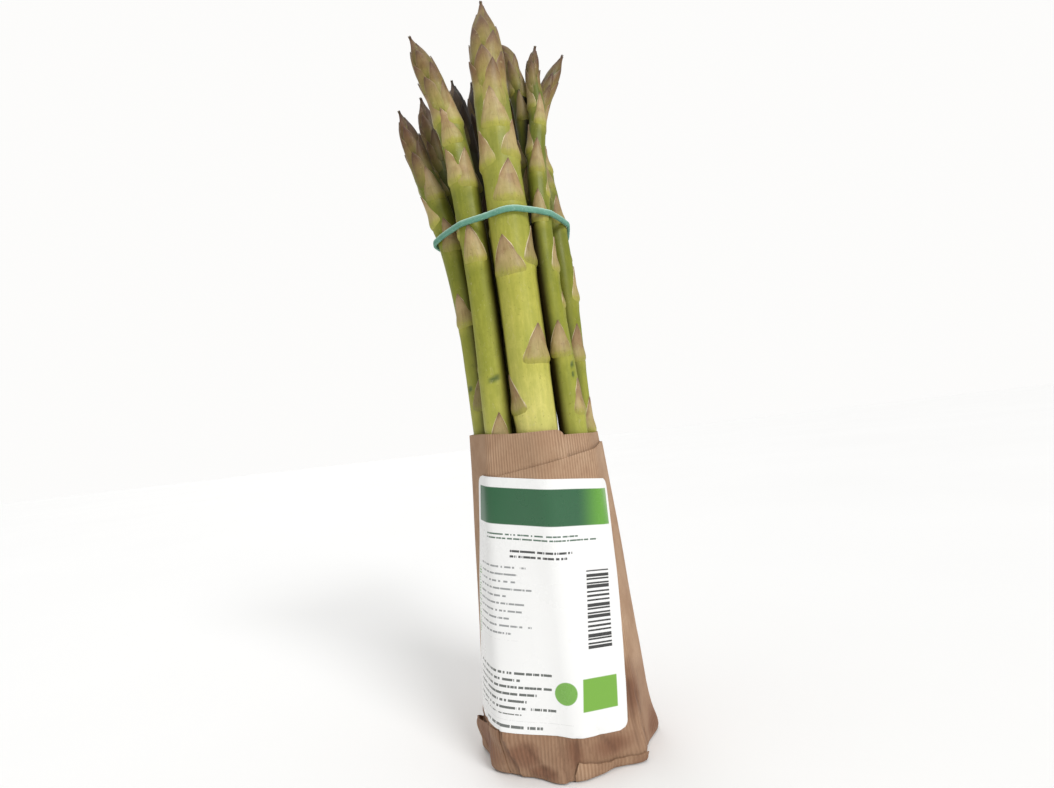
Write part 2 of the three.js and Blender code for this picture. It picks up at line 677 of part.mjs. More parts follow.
const bunch = new THREE.Group();
for (const [name, spear] of Object.entries(SPEARS)) {
  bunch.add(piece(`spear_${name}`, spearGeometry(name, spear), 'spear'));
}
bunch.add(piece('rubber_band', bandGeometry(), 'band'));
bunch.add(piece('paper_sleeve', sleeveGeometry(), 'sleeve'));
bunch.add(piece('paper_label', labelGeometry(), 'label'));

export default bunch;
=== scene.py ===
"""A standing bunch of green asparagus: fine spears, a rubber band, a kraft paper sleeve and a label,
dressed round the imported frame. Sizes in the tables are millimetres, and the meshes are in metres."""
import math

import bpy
import numpy as np
from bpy.props import FloatProperty, FloatVectorProperty, IntProperty, PointerProperty
from mathutils import Matrix, Vector


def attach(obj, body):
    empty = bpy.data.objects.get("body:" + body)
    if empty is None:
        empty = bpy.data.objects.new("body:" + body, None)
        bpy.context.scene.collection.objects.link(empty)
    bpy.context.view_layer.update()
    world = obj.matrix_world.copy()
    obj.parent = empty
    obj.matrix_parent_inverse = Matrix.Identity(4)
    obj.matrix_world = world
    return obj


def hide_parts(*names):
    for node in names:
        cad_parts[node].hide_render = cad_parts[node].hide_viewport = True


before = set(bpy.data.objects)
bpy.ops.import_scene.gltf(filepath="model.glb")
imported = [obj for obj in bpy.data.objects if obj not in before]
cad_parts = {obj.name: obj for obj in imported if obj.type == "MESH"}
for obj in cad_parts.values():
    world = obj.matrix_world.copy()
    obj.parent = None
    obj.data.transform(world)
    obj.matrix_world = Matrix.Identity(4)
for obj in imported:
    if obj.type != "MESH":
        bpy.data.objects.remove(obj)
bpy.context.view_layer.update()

bl_info = {
    "name": "Asparagus bunch",
    "version": (1, 0, 0),
    "blender": (4, 5, 0),
    "location": "View3D > Sidebar > Asparagus",
    "description": "Makes a standing bunch of asparagus with its band, paper sleeve and label",
    "category": "Add Mesh",
}

MM = 0.001
CUT_END = 1.3

# The spears. Each route is the stem's centre line: at the cut end, at the top of the sleeve, at the
# band, at one or more places of the neck, and at the tip. The radii are at the cut end, at the top of
# the sleeve, at the band and at the foot of the bud. Dusk is painted shade: how dark and brown the spear is
# painted where it faces the middle of the bunch. Green is how deep its green is, and ruddy is how purple its
# bud is.
SPEARS = {
    "front": {
        "radii": (7.5, 7.2, 7.1, 6.3), "turn": 12, "painted_shade": 0.0, "green": 0.0, "ruddy": 0.12,
        "route": ((2.0, -19.2, CUT_END), (0.9, -15.3, 108), (-0.9, -17.4, 184), (-1.9, -16.4, 225),
                  (-2.0, -14, 268)),
        "bracts": ((60, 100), (86, -150), (115.5, -80), (132, 38), (148, 172), (163, -22), (166, 88),
                   (178, -140), (188, 14), (201.5, -62), (204, 62), (209, 170), (215, 2)),
    },
    "front_left": {
        "radii": (5.5, 5.0, 5.0, 4.6), "turn": 60, "painted_shade": 0.12, "green": 0.6, "ruddy": 0.3,
        "route": ((-15.2, -15.8, CUT_END), (-12.5, -12.0, 108), (-14.2, -14.3, 184), (-19.0, -14.2, 225),
                  (-29.5, -13.5, 258)),
        "bracts": ((64, -70), (92, 120), (103, 4), (131, -150), (145, 150), (170, -8), (180, -120),
                   (197, 32), (199, -44), (206, 160), (213, -6), (220, 56), (222, -66)),
    },
    "left": {
        "radii": (5.3, 4.8, 4.7, 4.3), "turn": 200, "painted_shade": 0.5, "green": 0.75, "ruddy": 0.75,
        "route": ((-22.6, -1.8, CUT_END), (-17.6, -1.8, 108), (-23.6, -4.5, 184), (-31.8, -4.2, 215),
                  (-37.8, -4, 236)),
        "bracts": ((58, -20), (90, -100), (119, 4), (136, -160), (150, -28), (168, 100), (178, 6),
                   (189, -64), (198, 20), (203, -150), (206, 120)),
    },
    "back_left": {
        "radii": (5.2, 4.7, 4.6, 4.2), "turn": 330, "painted_shade": 0.6, "green": 0.75, "ruddy": 0.6,
        "route": ((-19.2, 11.0, CUT_END), (-15.0, 8.3, 108), (-20.4, 6.0, 184), (-26.3, 5.2, 222),
                  (-30.2, 5.0, 246)),
        "bracts": ((62, -140), (88, 160), (117, -120), (133, 110), (150, -170), (166, -60), (182, 12),
                   (194, 140), (203, -40), (210, -150)),
    },
    "back_left_hidden": {
        "radii": (5.2, 4.6, 4.5, 4.1), "turn": 95, "painted_shade": 0.8, "green": 0.6, "ruddy": 0.5,
        "route": ((-8.4, 20.4, CUT_END), (-6.7, 15.7, 108), (-12.4, 14.9, 184), (-17.5, 15.4, 216),
                  (-21.0, 16.0, 236)),
        "bracts": ((60, 150), (94, -170), (122, 170), (141, -120), (160, 130), (176, -170), (190, 90),
                   (202, -140)),
    },
    "back": {
        "radii": (5.1, 4.6, 4.6, 4.3), "turn": 140, "painted_shade": 1.0, "green": 0.6, "ruddy": 0.5,
        "route": ((4.6, 21.6, CUT_END), (3.4, 16.5, 108), (-1.8, 17.4, 184), (-7.2, 14.2, 222),
                  (-9.6, 12.5, 255)),
        "bracts": ((66, 170), (90, 150), (118, -160), (139, 140), (157, -170), (173, 120), (190, 180),
                   (204, -10), (213, 100)),
    },
    "back_right": {
        "radii": (5.1, 4.6, 4.5, 3.9), "turn": 20, "painted_shade": 0.7, "green": 0.7, "ruddy": 0.5,
        "route": ((18.0, 12.6, CUT_END), (14.6, 9.3, 108), (16.4, 9.2, 184), (14.6, 14.2, 212),
                  (13.5, 16.5, 238)),
        "bracts": ((60, 110), (92, 150), (120, 80), (141, 160), (158, 60), (175, 130), (192, 84), (203, 170),
                   (209, 60)),
    },
    "right": {
        "radii": (5.3, 4.8, 4.3, 3.4), "turn": 250, "painted_shade": 0.35, "green": 0.85, "ruddy": 0.4,
        "route": ((22.2, -1.6, CUT_END), (17.2, -1.0, 108), (16.1, -1.5, 184), (14.5, 4.0, 206),
                  (13.4, 6.2, 224.5), (17.4, 7.0, 237.5), (28.6, 8.0, 259)),
        "bracts": ((64, 60), (84, 30), (106, 62), (133, 34), (155, 84), (170, 150), (184, 48), (200, 14),
                   (208, 78), (216, -20), (226, 60), (231, -40)),
    },
    "front_right": {
        "radii": (5.4, 4.9, 3.8, 2.8), "turn": 165, "painted_shade": 0.25, "green": 0.75, "ruddy": 0.7,
        "route": ((17.0, -14.6, CUT_END), (13.5, -11.3, 108), (10.6, -13.2, 184), (12.1, -10.5, 210),
                  (14.3, -8.4, 226), (14.4, -5.8, 243), (16.9, -4.0, 255.5)),
        "bracts": ((62, 20), (88, 60), (113, 66), (134, 6), (151, 120), (164, 84), (182, -12), (192, 110),
                   (201, 4), (209, -80), (220, 28), (227, -60)),
    },
    "inner_left": {
        "radii": (5.0, 4.4, 4.4, 4.2), "turn": 75, "painted_shade": 1.0, "green": 0.7, "ruddy": 0.5,
        "route": ((-7.6, 7.4, CUT_END), (-5.2, 5.4, 108), (-9.6, 3.4, 184), (-14.0, 3.4, 222),
                  (-17.0, 4.0, 251)),
        "bracts": ((70, 0), (112, 170), (142, 20), (168, -150), (188, 30), (202, -20), (212, 110)),
    },
    "inner_right": {
        "radii": (5.0, 4.4, 4.5, 4.1), "turn": 285, "painted_shade": 1.0, "green": 0.7, "ruddy": 0.5,
        "route": ((6.6, 8.0, CUT_END), (4.7, 5.7, 108), (6.6, 9.6, 184), (5.6, 10.2, 218),
                  (5.4, 10.0, 253)),
        "bracts": ((72, 120), (116, -30), (144, 160), (170, 140), (190, 100), (204, -160)),
    },
    "middle": {
        "radii": (4.9, 4.2, 3.9, 3.2), "turn": 215, "painted_shade": 0.35, "green": 0.8, "ruddy": 0.35,
        "route": ((0.0, -5.0, CUT_END), (-0.2, -2.5, 108), (6.4, -3.6, 184), (9.8, -2.7, 212.5),
                  (9.0, -2.5, 234), (7.4, -2.2, 246), (3.6, 0.2, 258.5), (-3.0, 2.2, 264)),
        "bracts": ((74, 90), (118, -100), (147, 30), (172, 170), (194, -30), (207, -75), (213, 120),
                   (226, -5), (235, 60), (237, -90)),
    },
}

# The bud: its widest radius over the neck's, the length of its taper over its widest radius, and its
# whole length over the neck's radius.
HEAD_SWELL = 1.06
HEAD_TAPER = 4.0
HEAD_LENGTH = 6.2

# The bud's half width over its widest, against the distance from its tip over the length of its taper.
BUD_PROFILE = ((0, 0.02), (0.06, 0.13), (0.21, 0.33), (0.3, 0.49), (0.41, 0.68), (0.55, 0.83), (0.72, 0.93),
               (1, 1.0))
GOLDEN_ANGLE = 137.5
SEED = 27

# Small healed cuts across the stems: a height, an azimuth and half a width in degrees.
SCARS = {"front_left": ((128.5, 6, 24),), "front_right": ((130.5, 46, 14), (127, 40, 9)),
         "left": ((127, -56, 20),)}

# The rubber band's plane, and how far the band keeps off the spears.
BAND = {"height": 183.3, "slope_x": 0.05, "slope_y": -0.03, "middle_x": -3.5, "gap": 0.4}
BAND_CENTRE = (-3.5, -1.0)

# The kraft paper: the flap's top and its rise to the left, the back's top, the flap's two edges as
# azimuths, the outer ply's slanting top edge, the gap between the paper and the spears, and the
# thickness of a sheet.
FLAP_TOP = 108.6
FLAP_TOP_RISE = 0.018
BACK_TOP = 106.4
FLAP_EDGE = 24
FLAP_ROOT = -100
OUTER_EDGE = {"right": 102.5, "left": 94.0, "from": 78, "to": -56}
PAPER_GAP = 0.6
PAPER_THICKNESS = 0.34

# How far each ply of the sleeve lies outside the sleeve's inside, then the label's two skins, and the
# lift at which the label is wound. The steps of the outline and of the sheets are in degrees.
PLY_LIFT = {"inner": 0.05, "flap": 0.45, "outer": 0.95, "ear": 1.35, "turned_up": 1.45}
LABEL_SKINS = (1.62, 1.44)
LABEL_LIFT = 1.5
SLEEVE_LEVELS = (0, 13, 42, 75, 108.6)
OUTLINE_STEP = 3
SHEET_STEP = 1.5

# Width of flat paper for each degree round the bunch, in millimetres, as its ribs, stains and painted shade
# count it.
MM_PER_DEGREE = 0.5

# Where the paper stands off the stems: an azimuth, half the width of the bulge, and how far it stands
# out at each of the sleeve's levels.
SLACK = ((-50, 48, (0, 3.8, 3.0, 1.5, 0)), (-100, 52, (0.6, 0.6, 0.8, 1.6, 0.5)),
         (82, 60, (0.6, 0.9, 1.1, 0.8, 0)))

# The folded base: an azimuth, half a width and how far the paper stands out or in there. Its folds
# fade out at the fold height, and its lowest part turns in below the base's edge.
BASE_CORNERS = ((-9, 14, 1.3), (-57, 14, 2.2), (-38, 15, -0.8), (13, 15, -0.8), (30, 13, -0.8),
                (47, 12, 1.2), (88, 26, 1.4))
FOLD_HEIGHT = 14
BASE_EDGE = 1.3
RIB_PITCH = 1.2

# Sharp creases in the paper: an azimuth and a height at each end, and a depth.
CREASES = ((-57, 22, -61, 0, 0.4), (4, 12.5, 2, 6, 0.35), (18, 13, 30, 6, 0.3), (47, 24, 45, 5, 0.4),
           (52, 20, 60, 0, 0.5), (-30, 11, -18, 2, 0.35), (-90, 24, -72, 4, 0.5), (-24, 5, -12, 3, 0.3),
           (-104, 9, -74, 12, 0.4), (88, 30, 92, 3, 0.4), (118, 16, 104, 1, 0.5), (150, 26, 158, 2, 0.4),
           (-150, 20, -138, 2, 0.5), (175, 10, 205, 4, 0.4), (-120, 18, -124, 0, 0.4))

# Folded edges, where one side of the paper overlaps the other: an azimuth and a height at each end, and
# how far the side on the left stands out. Below zero, the side on the right does.
FOLDS = ((-44, 19, -36, 0, -1.0), (-9, 14, -4.5, 0, 0.9), (62, 26, 50, 3, 0.5), (128, 18, 140, 0, 0.7),
         (-150, 16, -140, 0, -0.7), (190, 15, 184, 0, 0.6))

# Dark spots in the paper, stains that near the base also paint the shade falling low on the sleeve: an
# azimuth, a height, and half a width in degrees and in millimetres.
STAIN_AND_SHADE_SPOTS = ((30, 8, 20, 4.2), (-33, 8, 12, 6), (-62, 8, 20, 8), (-20, 2.5, 12, 2.5), (2, 8, 7, 6),
              (78, 5, 16, 6), (48, 20, 12, 9), (125, 6, 22, 5), (170, 4, 18, 6), (-140, 6, 22, 5))

LABEL = {"width": 55, "height": 79.5, "corner": 3, "turn": 6.7, "middle_angle": -7.5, "middle_height": 53.5}

# The camera's place, found from the photograph: a close, wide view, tilted up and rolled.
CAMERA = {"place": (-1.3, -210.0, 108.4), "tilt": 4.0, "roll": 6.5, "focal_px": 562.0, "frame_px": 1054.0}

# The suns: a place in metres, a spread in degrees and a power. They shine on the middle of the bunch.
LIGHTS = (("Key light", (0.60, -0.85, 0.85), 22, 1.75), ("Top light", (-0.1, 0.1, 1.6), 70, 0.9),
          ("Back light", (-0.3, 0.9, 0.6), 40, 0.5))
LIGHTS_AIM = (0, 0, 0.13)
FLOOR = {"half": 6, "height": -0.0002}


# Shapes that follow the bunch

def step_up(value, low, high):
    """A smooth step from 0 at low to 1 at high."""
    t = np.clip((value - low) / (high - low), 0, 1)
    return t * t * (3 - 2 * t)


def slopes(route):
    """The slope of x and y over height at each point of a route."""
    points = np.array(route, float)
    rise = np.diff(points[:, 2])
    between = np.diff(points[:, :2], axis=0) / rise[:, None]
    weighed = between[:-1] * rise[1:, None] + between[1:] * rise[:-1, None]
    inner = weighed / (rise[1:] + rise[:-1])[:, None]
    return np.vstack([between[:1], inner, between[-1:]])


def centres(route, heights):
    """Points of a spear's centre line at the given heights, in millimetres."""
    points = np.array(route, float)
    slope = slopes(route)
    z = np.clip(np.asarray(heights, float), points[0, 2], points[-1, 2])
    i = np.clip(np.searchsorted(points[:, 2], z, side="right") - 1, 0, len(points) - 2)
    rise = points[i + 1, 2] - points[i, 2]
    t = ((z - points[i, 2]) / rise)[..., None]
    rise = rise[..., None]
    xy = ((2 * t**3 - 3 * t**2 + 1) * points[i, :2] + (t**3 - 2 * t**2 + t) * slope[i] * rise
          + (3 * t**2 - 2 * t**3) * points[i + 1, :2] + (t**3 - t**2) * slope[i + 1] * rise)
    return np.concatenate([xy, z[..., None]], axis=-1)


def radii_at(spear, heights):
    """The outside of a spear at the given heights: the stem tapers, then the bud swells and closes."""
    z = np.asarray(heights, float)
    tip = spear["route"][-1][2]
    neck_radius = spear["radii"][3]
    head = neck_radius * HEAD_SWELL
    taper = head * HEAD_TAPER
    places = [point[2] for point in spear["route"][:3]] + [tip - neck_radius * HEAD_LENGTH, tip - taper]
    stem = np.interp(z, places, list(spear["radii"]) + [head])
    open_share = 1 - np.clip(tip - z, 0, taper) / taper
    return np.where(tip - z < taper, head * (1 - open_share**2), stem)


def reach_of_bunch(height, centre, degrees):
    """How far something stretched round the spears lies from a centre, in each direction."""
    swings = np.radians(np.arange(-60, 61, 3))
    ways = np.radians(np.asarray(degrees, float))[:, None] + swings[None, :]
    reach = np.zeros_like(ways)
    for spear in SPEARS.values():
        if height > spear["route"][-1][2]:
            continue
        x, y, _ = centres(spear["route"], height)
        push = (x - centre[0]) * np.sin(ways) - (y - centre[1]) * np.cos(ways) + radii_at(spear, height)
        reach = np.maximum(reach, push)
    return (reach / np.cos(swings)).min(axis=1)


def facing(degrees):
    """Plan directions: 0 degrees faces the front, 90 degrees faces +X."""
    turn = np.radians(degrees)
    return np.stack([np.sin(turn), -np.cos(turn)], axis=-1)


def band_height(x, y):
    return BAND["height"] + BAND["slope_x"] * (x - BAND["middle_x"]) + BAND["slope_y"] * y


def bump(degrees, middle, half):
    """A rounded bump, 1 at an azimuth and 0 from half its width outwards."""
    apart = np.abs((np.asarray(degrees, float) - middle + 540) % 360 - 180)
    return np.where(apart < half, 0.5 + 0.5 * np.cos(math.pi * apart / half), 0)


OUTLINE_DEGREES = np.arange(0, 360, float(OUTLINE_STEP))
LEVEL_OUTLINES = np.array([
    reach_of_bunch(max(level, CUT_END), (0, 0), OUTLINE_DEGREES)
    + sum(amounts[i] * bump(OUTLINE_DEGREES, middle, half) for middle, half, amounts in SLACK)
    for i, level in enumerate(SLEEVE_LEVELS)])


def sleeve_inside(heights, degrees):
    """The sleeve's inner radius, with straight paper between a few levels."""
    z, turn = np.broadcast_arrays(np.asarray(heights, float), np.asarray(degrees, float))
    place = (turn % 360) / OUTLINE_STEP
    columns = len(OUTLINE_DEGREES)
    column = np.floor(place).astype(int) % columns
    share = place - np.floor(place)
    level = np.clip(np.searchsorted(SLEEVE_LEVELS, z, side="left") - 1, 0, len(SLEEVE_LEVELS) - 2)
    levels = np.array(SLEEVE_LEVELS, float)
    up = (z - levels[level]) / (levels[level + 1] - levels[level])

    def around(row):
        following = LEVEL_OUTLINES[row, (column + 1) % columns]
        return LEVEL_OUTLINES[row, column] * (1 - share) + following * share

    return around(level) * (1 - up) + around(level + 1) * up + PAPER_GAP


# Mesh helpers

def add_object(name, data):
    """A new object, linked to the scene."""
    thing = bpy.data.objects.new(name, data)
    bpy.context.scene.collection.objects.link(thing)
    return thing


def mesh_object(name, points, faces, scale=MM):
    mesh = bpy.data.meshes.new(name)
    corners = [tuple(map(int, face)) for face in faces]
    mesh.from_pydata((np.asarray(points, float) * scale).tolist(), [], corners)
    mesh.update()
    return add_object(name, mesh)


def line_object(name, points, radii=None, closed=False):
    """A curve of straight spans through points in metres."""
    curve = bpy.data.curves.new(name, "CURVE")
    curve.dimensions = "3D"
    spline = curve.splines.new("POLY")
    spline.points.add(len(points) - 1)
    spline.points.foreach_set("co", np.column_stack([points, np.ones(len(points))]).ravel())
    if radii is not None:
        spline.points.foreach_set("radius", radii)
    spline.use_cyclic_u = closed
    return add_object(name, curve)


def points_round(degrees, radius, heights):
    """Points in space from azimuths, distances from the middle and heights."""
    flat = facing(degrees) * radius[..., None]
    return np.concatenate([flat, heights[..., None]], axis=-1).reshape(-1, 3)


def store(mesh, name, values):
    """Puts a named number on each point of a mesh."""
    attribute = mesh.attributes.new(name, "FLOAT", "POINT")
    attribute.data.foreach_set("value", np.asarray(values, np.float32).ravel())


def store_places(thing, name, places):
    """Gives each face corner the flat place of its point, as a UV map."""
    layer = thing.data.uv_layers.new(name=name)
    corners = np.empty(len(thing.data.loops), int)
    thing.data.loops.foreach_get("vertex_index", corners)
    layer.data.foreach_set("uv", places[corners].ravel())


def finish_shading(thing, degrees):
    """Smooth faces, with edges sharper than an angle left crisp."""
    thing.data.polygons.foreach_set("use_smooth", [True] * len(thing.data.polygons))
    thing.data.set_sharp_from_angle(angle=math.radians(degrees))


def made_real(thing, name):
    """The evaluated object as a plain mesh in a new object. The maker object is removed."""
    graph = bpy.context.evaluated_depsgraph_get()
    mesh = bpy.data.meshes.new_from_object(thing.evaluated_get(graph), preserve_all_data_layers=True,
                                           depsgraph=graph)
    bpy.data.objects.remove(thing, do_unlink=True)
    mesh.name = name
    return add_object(name, mesh)


def shell_faces(rows, columns, closed_round=False):
    """Quads for two grids of points, outer then inner, joined along their free edges."""
    half = rows * columns
    faces = []
    spans = columns if closed_round else columns - 1
    for row in range(rows - 1):
        for column in range(spans):
            a = row * columns + column
            b = row * columns + (column + 1) % columns
            faces.append((a, b, b + columns, a + columns))
            faces.append((a + half, a + columns + half, b + columns + half, b + half))
    for column in range(spans):
        a, b = column, (column + 1) % columns
        top = (rows - 1) * columns
        faces.append((b, a, a + half, b + half))
        faces.append((a + top, b + top, b + top + half, a + top + half))
    if not closed_round:
        for row in range(rows - 1):
            a = row * columns
            faces.append((a, a + columns, a + columns + half, a + half))
            c = a + columns - 1
            faces.append((c + columns, c, c + half, c + columns + half))
    return faces


# Node helpers

class Wiring:
    """Adds nodes to one tree and joins them. A value may be a number, a colour or a socket."""

    def __init__(self, tree):
        self.tree = tree

    def feed(self, socket, value):
        if isinstance(value, bpy.types.NodeSocket):
            self.tree.links.new(value, socket)
        else:
            socket.default_value = value

    def add(self, kind, inputs=None, **settings):
        node = self.tree.nodes.new(kind)
        for key, value in settings.items():
            setattr(node, key, value)
        for key, value in (inputs or {}).items():
            self.feed(node.inputs[key], value)
        return node

    def math(self, operation, *values, clamp=False):
        node = self.add("ShaderNodeMath", operation=operation, use_clamp=clamp)
        for socket, value in zip(node.inputs, values):
            self.feed(socket, value)
        return node.outputs[0]

    def vector(self, operation, *values):
        node = self.add("ShaderNodeVectorMath", operation=operation)
        for socket, value in zip(node.inputs, values):
            self.feed(socket, value)
        return node.outputs[0]

    def scaled(self, vector, factor):
        node = self.add("ShaderNodeVectorMath", {0: vector, "Scale": factor}, operation="SCALE")
        return node.outputs[0]

    def plus(self, a, b):
        return self.math("ADD", a, b)

    def minus(self, a, b):
        return self.math("SUBTRACT", a, b)

    def times(self, a, b):
        return self.math("MULTIPLY", a, b)

    def distance(self, a, b):
        """The length of a flat vector from its two parts."""
        return self.math("SQRT", self.plus(self.math("POWER", a, 2.0), self.math("POWER", b, 2.0)))

    def blend(self, factor, a, b):
        return self.math("MULTIPLY_ADD", self.minus(b, a), factor, a)

    def step(self, value, low, high, to_low=0.0, to_high=1.0):
        node = self.add("ShaderNodeMapRange", {0: value, 1: low, 2: high, 3: to_low, 4: to_high},
                        interpolation_type="SMOOTHSTEP")
        return node.outputs[0]

    def mix(self, factor, a, b, blend_type="MIX"):
        node = self.add("ShaderNodeMix", {0: factor, 6: a, 7: b}, data_type="RGBA", blend_type=blend_type)
        return node.outputs[2]

    def tint(self, factor, colour, shade):
        """A colour multiplied by a shade, as far as the factor says."""
        return self.mix(factor, colour, (*shade, 1), "MULTIPLY")

    def ramp(self, value, stops):
        node = self.add("ShaderNodeValToRGB", {0: value})
        elements = node.color_ramp.elements
        while len(elements) < len(stops):
            elements.new(0.5)
        for element, (place, colour) in zip(elements, stops):
            element.position = place
            element.color = (*colour, 1)
        return node.outputs[0]

    def noise(self, vector, scale, detail=3.0, roughness=0.55, distortion=0.0):
        node = self.add("ShaderNodeTexNoise", {"Vector": vector, "Scale": scale, "Detail": detail,
                                               "Roughness": roughness, "Distortion": distortion})
        return node.outputs["Fac"]

    def attribute(self, name):
        return self.add("ShaderNodeAttribute", attribute_name=name).outputs["Fac"]

    def own_place(self):
        """A place in the piece's own coordinates, in metres."""
        return self.add("ShaderNodeTexCoord").outputs["Object"]

    def parts(self, vector):
        return self.add("ShaderNodeSeparateXYZ", {0: vector}).outputs

    def relief(self, shader, strength, distance, height):
        """Fine relief on a shader's normal, from a height."""
        node = self.add("ShaderNodeBump", {"Strength": strength, "Distance": distance, "Height": height})
        self.feed(shader.inputs["Normal"], node.outputs[0])


def new_group(name, kind, inputs, outputs):
    """A node group with its named sockets, its wiring, and its input and output nodes."""
    tree = bpy.data.node_groups.new(name, kind)
    for label, socket, default in inputs:
        made = tree.interface.new_socket(label, in_out="INPUT", socket_type=socket)
        if default is not None:
            made.default_value = default
    for label, socket in outputs:
        tree.interface.new_socket(label, in_out="OUTPUT", socket_type=socket)
    wiring = Wiring(tree)
    return tree, wiring, wiring.add("NodeGroupInput").outputs, wiring.add("NodeGroupOutput").inputs


def socket_keys(tree):
    """Input names and the identifiers that a modifier sets them by."""
    return {item.name: item.identifier for item in tree.interface.items_tree if item.in_out == "INPUT"}


# Geometry Nodes: blades that wrap a spear

def wrap_group():
    """Takes a place on a spear, as an angle, a length along it and a lift, to a point in space."""
    tree, wire, given, result = new_group(
        "Place on a spear", "GeometryNodeTree",
        [("Route", "NodeSocketGeometry", None), ("Angle", "NodeSocketFloat", 0.0),
         ("Station", "NodeSocketFloat", 0.0), ("Lift", "NodeSocketFloat", 0.0)],
        [("Position", "NodeSocketVector")])
    radius = wire.add("GeometryNodeInputRadius").outputs[0]
    sample = wire.add("GeometryNodeSampleCurve",
                      {"Curves": given["Route"], "Value": radius, "Length": given["Station"]},
                      mode="LENGTH", data_type="FLOAT")
    along = sample.outputs["Tangent"]
    side = wire.vector("NORMALIZE", wire.vector("CROSS_PRODUCT", (0.0, 1.0, 0.0), along))
    front = wire.vector("CROSS_PRODUCT", side, along)
    out = wire.vector("ADD", wire.scaled(side, wire.math("SINE", given["Angle"])),
                      wire.scaled(front, wire.math("COSINE", given["Angle"])))
    reach = wire.plus(sample.outputs["Value"], given["Lift"])
    wire.feed(result["Position"], wire.vector("ADD", sample.outputs["Position"], wire.scaled(out, reach)))
    return tree


def spear_tree():
    """Wraps the stem's sheet and one blade for each seed round a spear's route."""
    tree, wire, given, result = new_group(
        "Spear", "GeometryNodeTree",
        [("Stem sheet", "NodeSocketGeometry", None), ("Route", "NodeSocketObject", None),
         ("Seeds", "NodeSocketObject", None), ("Blade", "NodeSocketObject", None),
         ("Thickness", "NodeSocketFloat", 0.0003), ("Stem skin", "NodeSocketMaterial", None),
         ("Bract skin", "NodeSocketMaterial", None), ("Bud skin", "NodeSocketMaterial", None)],
        [("Spear", "NodeSocketGeometry")])
    wrap = wrap_group()
    route, seeds, blade = (wire.add("GeometryNodeObjectInfo", {"Object": given[name]}).outputs["Geometry"]
                           for name in ("Route", "Seeds", "Blade"))

    def own(name):
        return wire.add("GeometryNodeInputNamedAttribute", {"Name": name},
                        data_type="FLOAT").outputs["Attribute"]

    def parts_of_position():
        position = wire.add("GeometryNodeInputPosition").outputs[0]
        return wire.parts(position)

    def wrapped(geometry, angle, station, lift):
        place = wire.add("GeometryNodeGroup", node_tree=wrap)
        for key, value in {"Route": route, "Angle": angle, "Station": station, "Lift": lift}.items():
            wire.feed(place.inputs[key], value)
        return wire.add("GeometryNodeSetPosition", {"Geometry": geometry,
                                                    "Position": place.outputs["Position"]}).outputs[0]

    def stored(geometry, name, value):
        return wire.add("GeometryNodeStoreNamedAttribute",
                        {"Geometry": geometry, "Name": name, "Value": value},
                        data_type="FLOAT", domain="POINT").outputs[0]

    angle, station, lift = parts_of_position()
    stem = wrapped(stored(given["Stem sheet"], "station", station), angle, station, lift)

    copies = wire.add("GeometryNodeInstanceOnPoints", {"Points": seeds, "Instance": blade}).outputs[0]
    blades = wire.add("GeometryNodeRealizeInstances", {"Geometry": copies}).outputs[0]
    across, along, skin = parts_of_position()
    blades = stored(stored(blades, "across", across), "along", along)
    fuller = wire.math("POWER", along, own("fullness"))
    narrowing = wire.math("POWER", wire.math("SUBTRACT", 1.0, fuller, clamp=True), 1.05)
    waist = wire.step(along, 0.0, 0.12, 0.93, 1.0)
    half = wire.times(own("spread"), wire.times(narrowing, waist))
    bend = wire.times(own("skew"), wire.times(along, along))
    angle = wire.plus(wire.plus(own("turn"), bend), wire.times(across, half))
    square = wire.times(across, across)
    sag = wire.times(wire.minus(1.0, square), wire.minus(1.0, along))
    rise = wire.minus(along, wire.times(sag, 0.05))
    station = wire.math("MULTIPLY_ADD", own("length"), rise, own("foot"))
    lift = wire.blend(along, own("lift_foot"), own("lift_tip"))
    knob = wire.times(own("knob"), wire.times(wire.step(along, 0.0, 0.11), wire.step(along, 0.5, 0.11)))
    knob = wire.times(knob, wire.minus(1.0, wire.math("POWER", square, 1.5)))
    curl = wire.times(own("curl"), wire.step(along, 0.7, 1.0))
    hug = wire.times(wire.math("POWER", wire.math("ABSOLUTE", across), 2.5), own("hug"))
    hug = wire.times(hug, wire.step(along, 1.0, 0.3, 0.35, 1.0))
    lift = wire.minus(wire.plus(wire.plus(lift, knob), curl), hug)
    wall = wire.times(given["Thickness"], wire.minus(1.0, wire.times(square, 0.5)))
    lift = wire.math("MULTIPLY_ADD", wall, skin, lift)
    blades = wrapped(blades, angle, station, lift)

    joined = wire.add("GeometryNodeJoinGeometry")
    tree.links.new(stem, joined.inputs[0])
    tree.links.new(blades, joined.inputs[0])
    body = wire.add("GeometryNodeRealizeInstances", {"Geometry": joined.outputs[0]}).outputs[0]
    kind = own("kind")
    for name, low, high in (("Stem skin", -0.5, 0.5), ("Bract skin", 0.5, 1.5), ("Bud skin", 1.5, 2.5)):
        chosen = wire.times(wire.math("GREATER_THAN", kind, low), wire.math("LESS_THAN", kind, high))
        body = wire.add("GeometryNodeSetMaterial", {"Geometry": body, "Selection": chosen,
                                                    "Material": given[name]}).outputs[0]
    wire.feed(result["Spear"], body)
    return tree


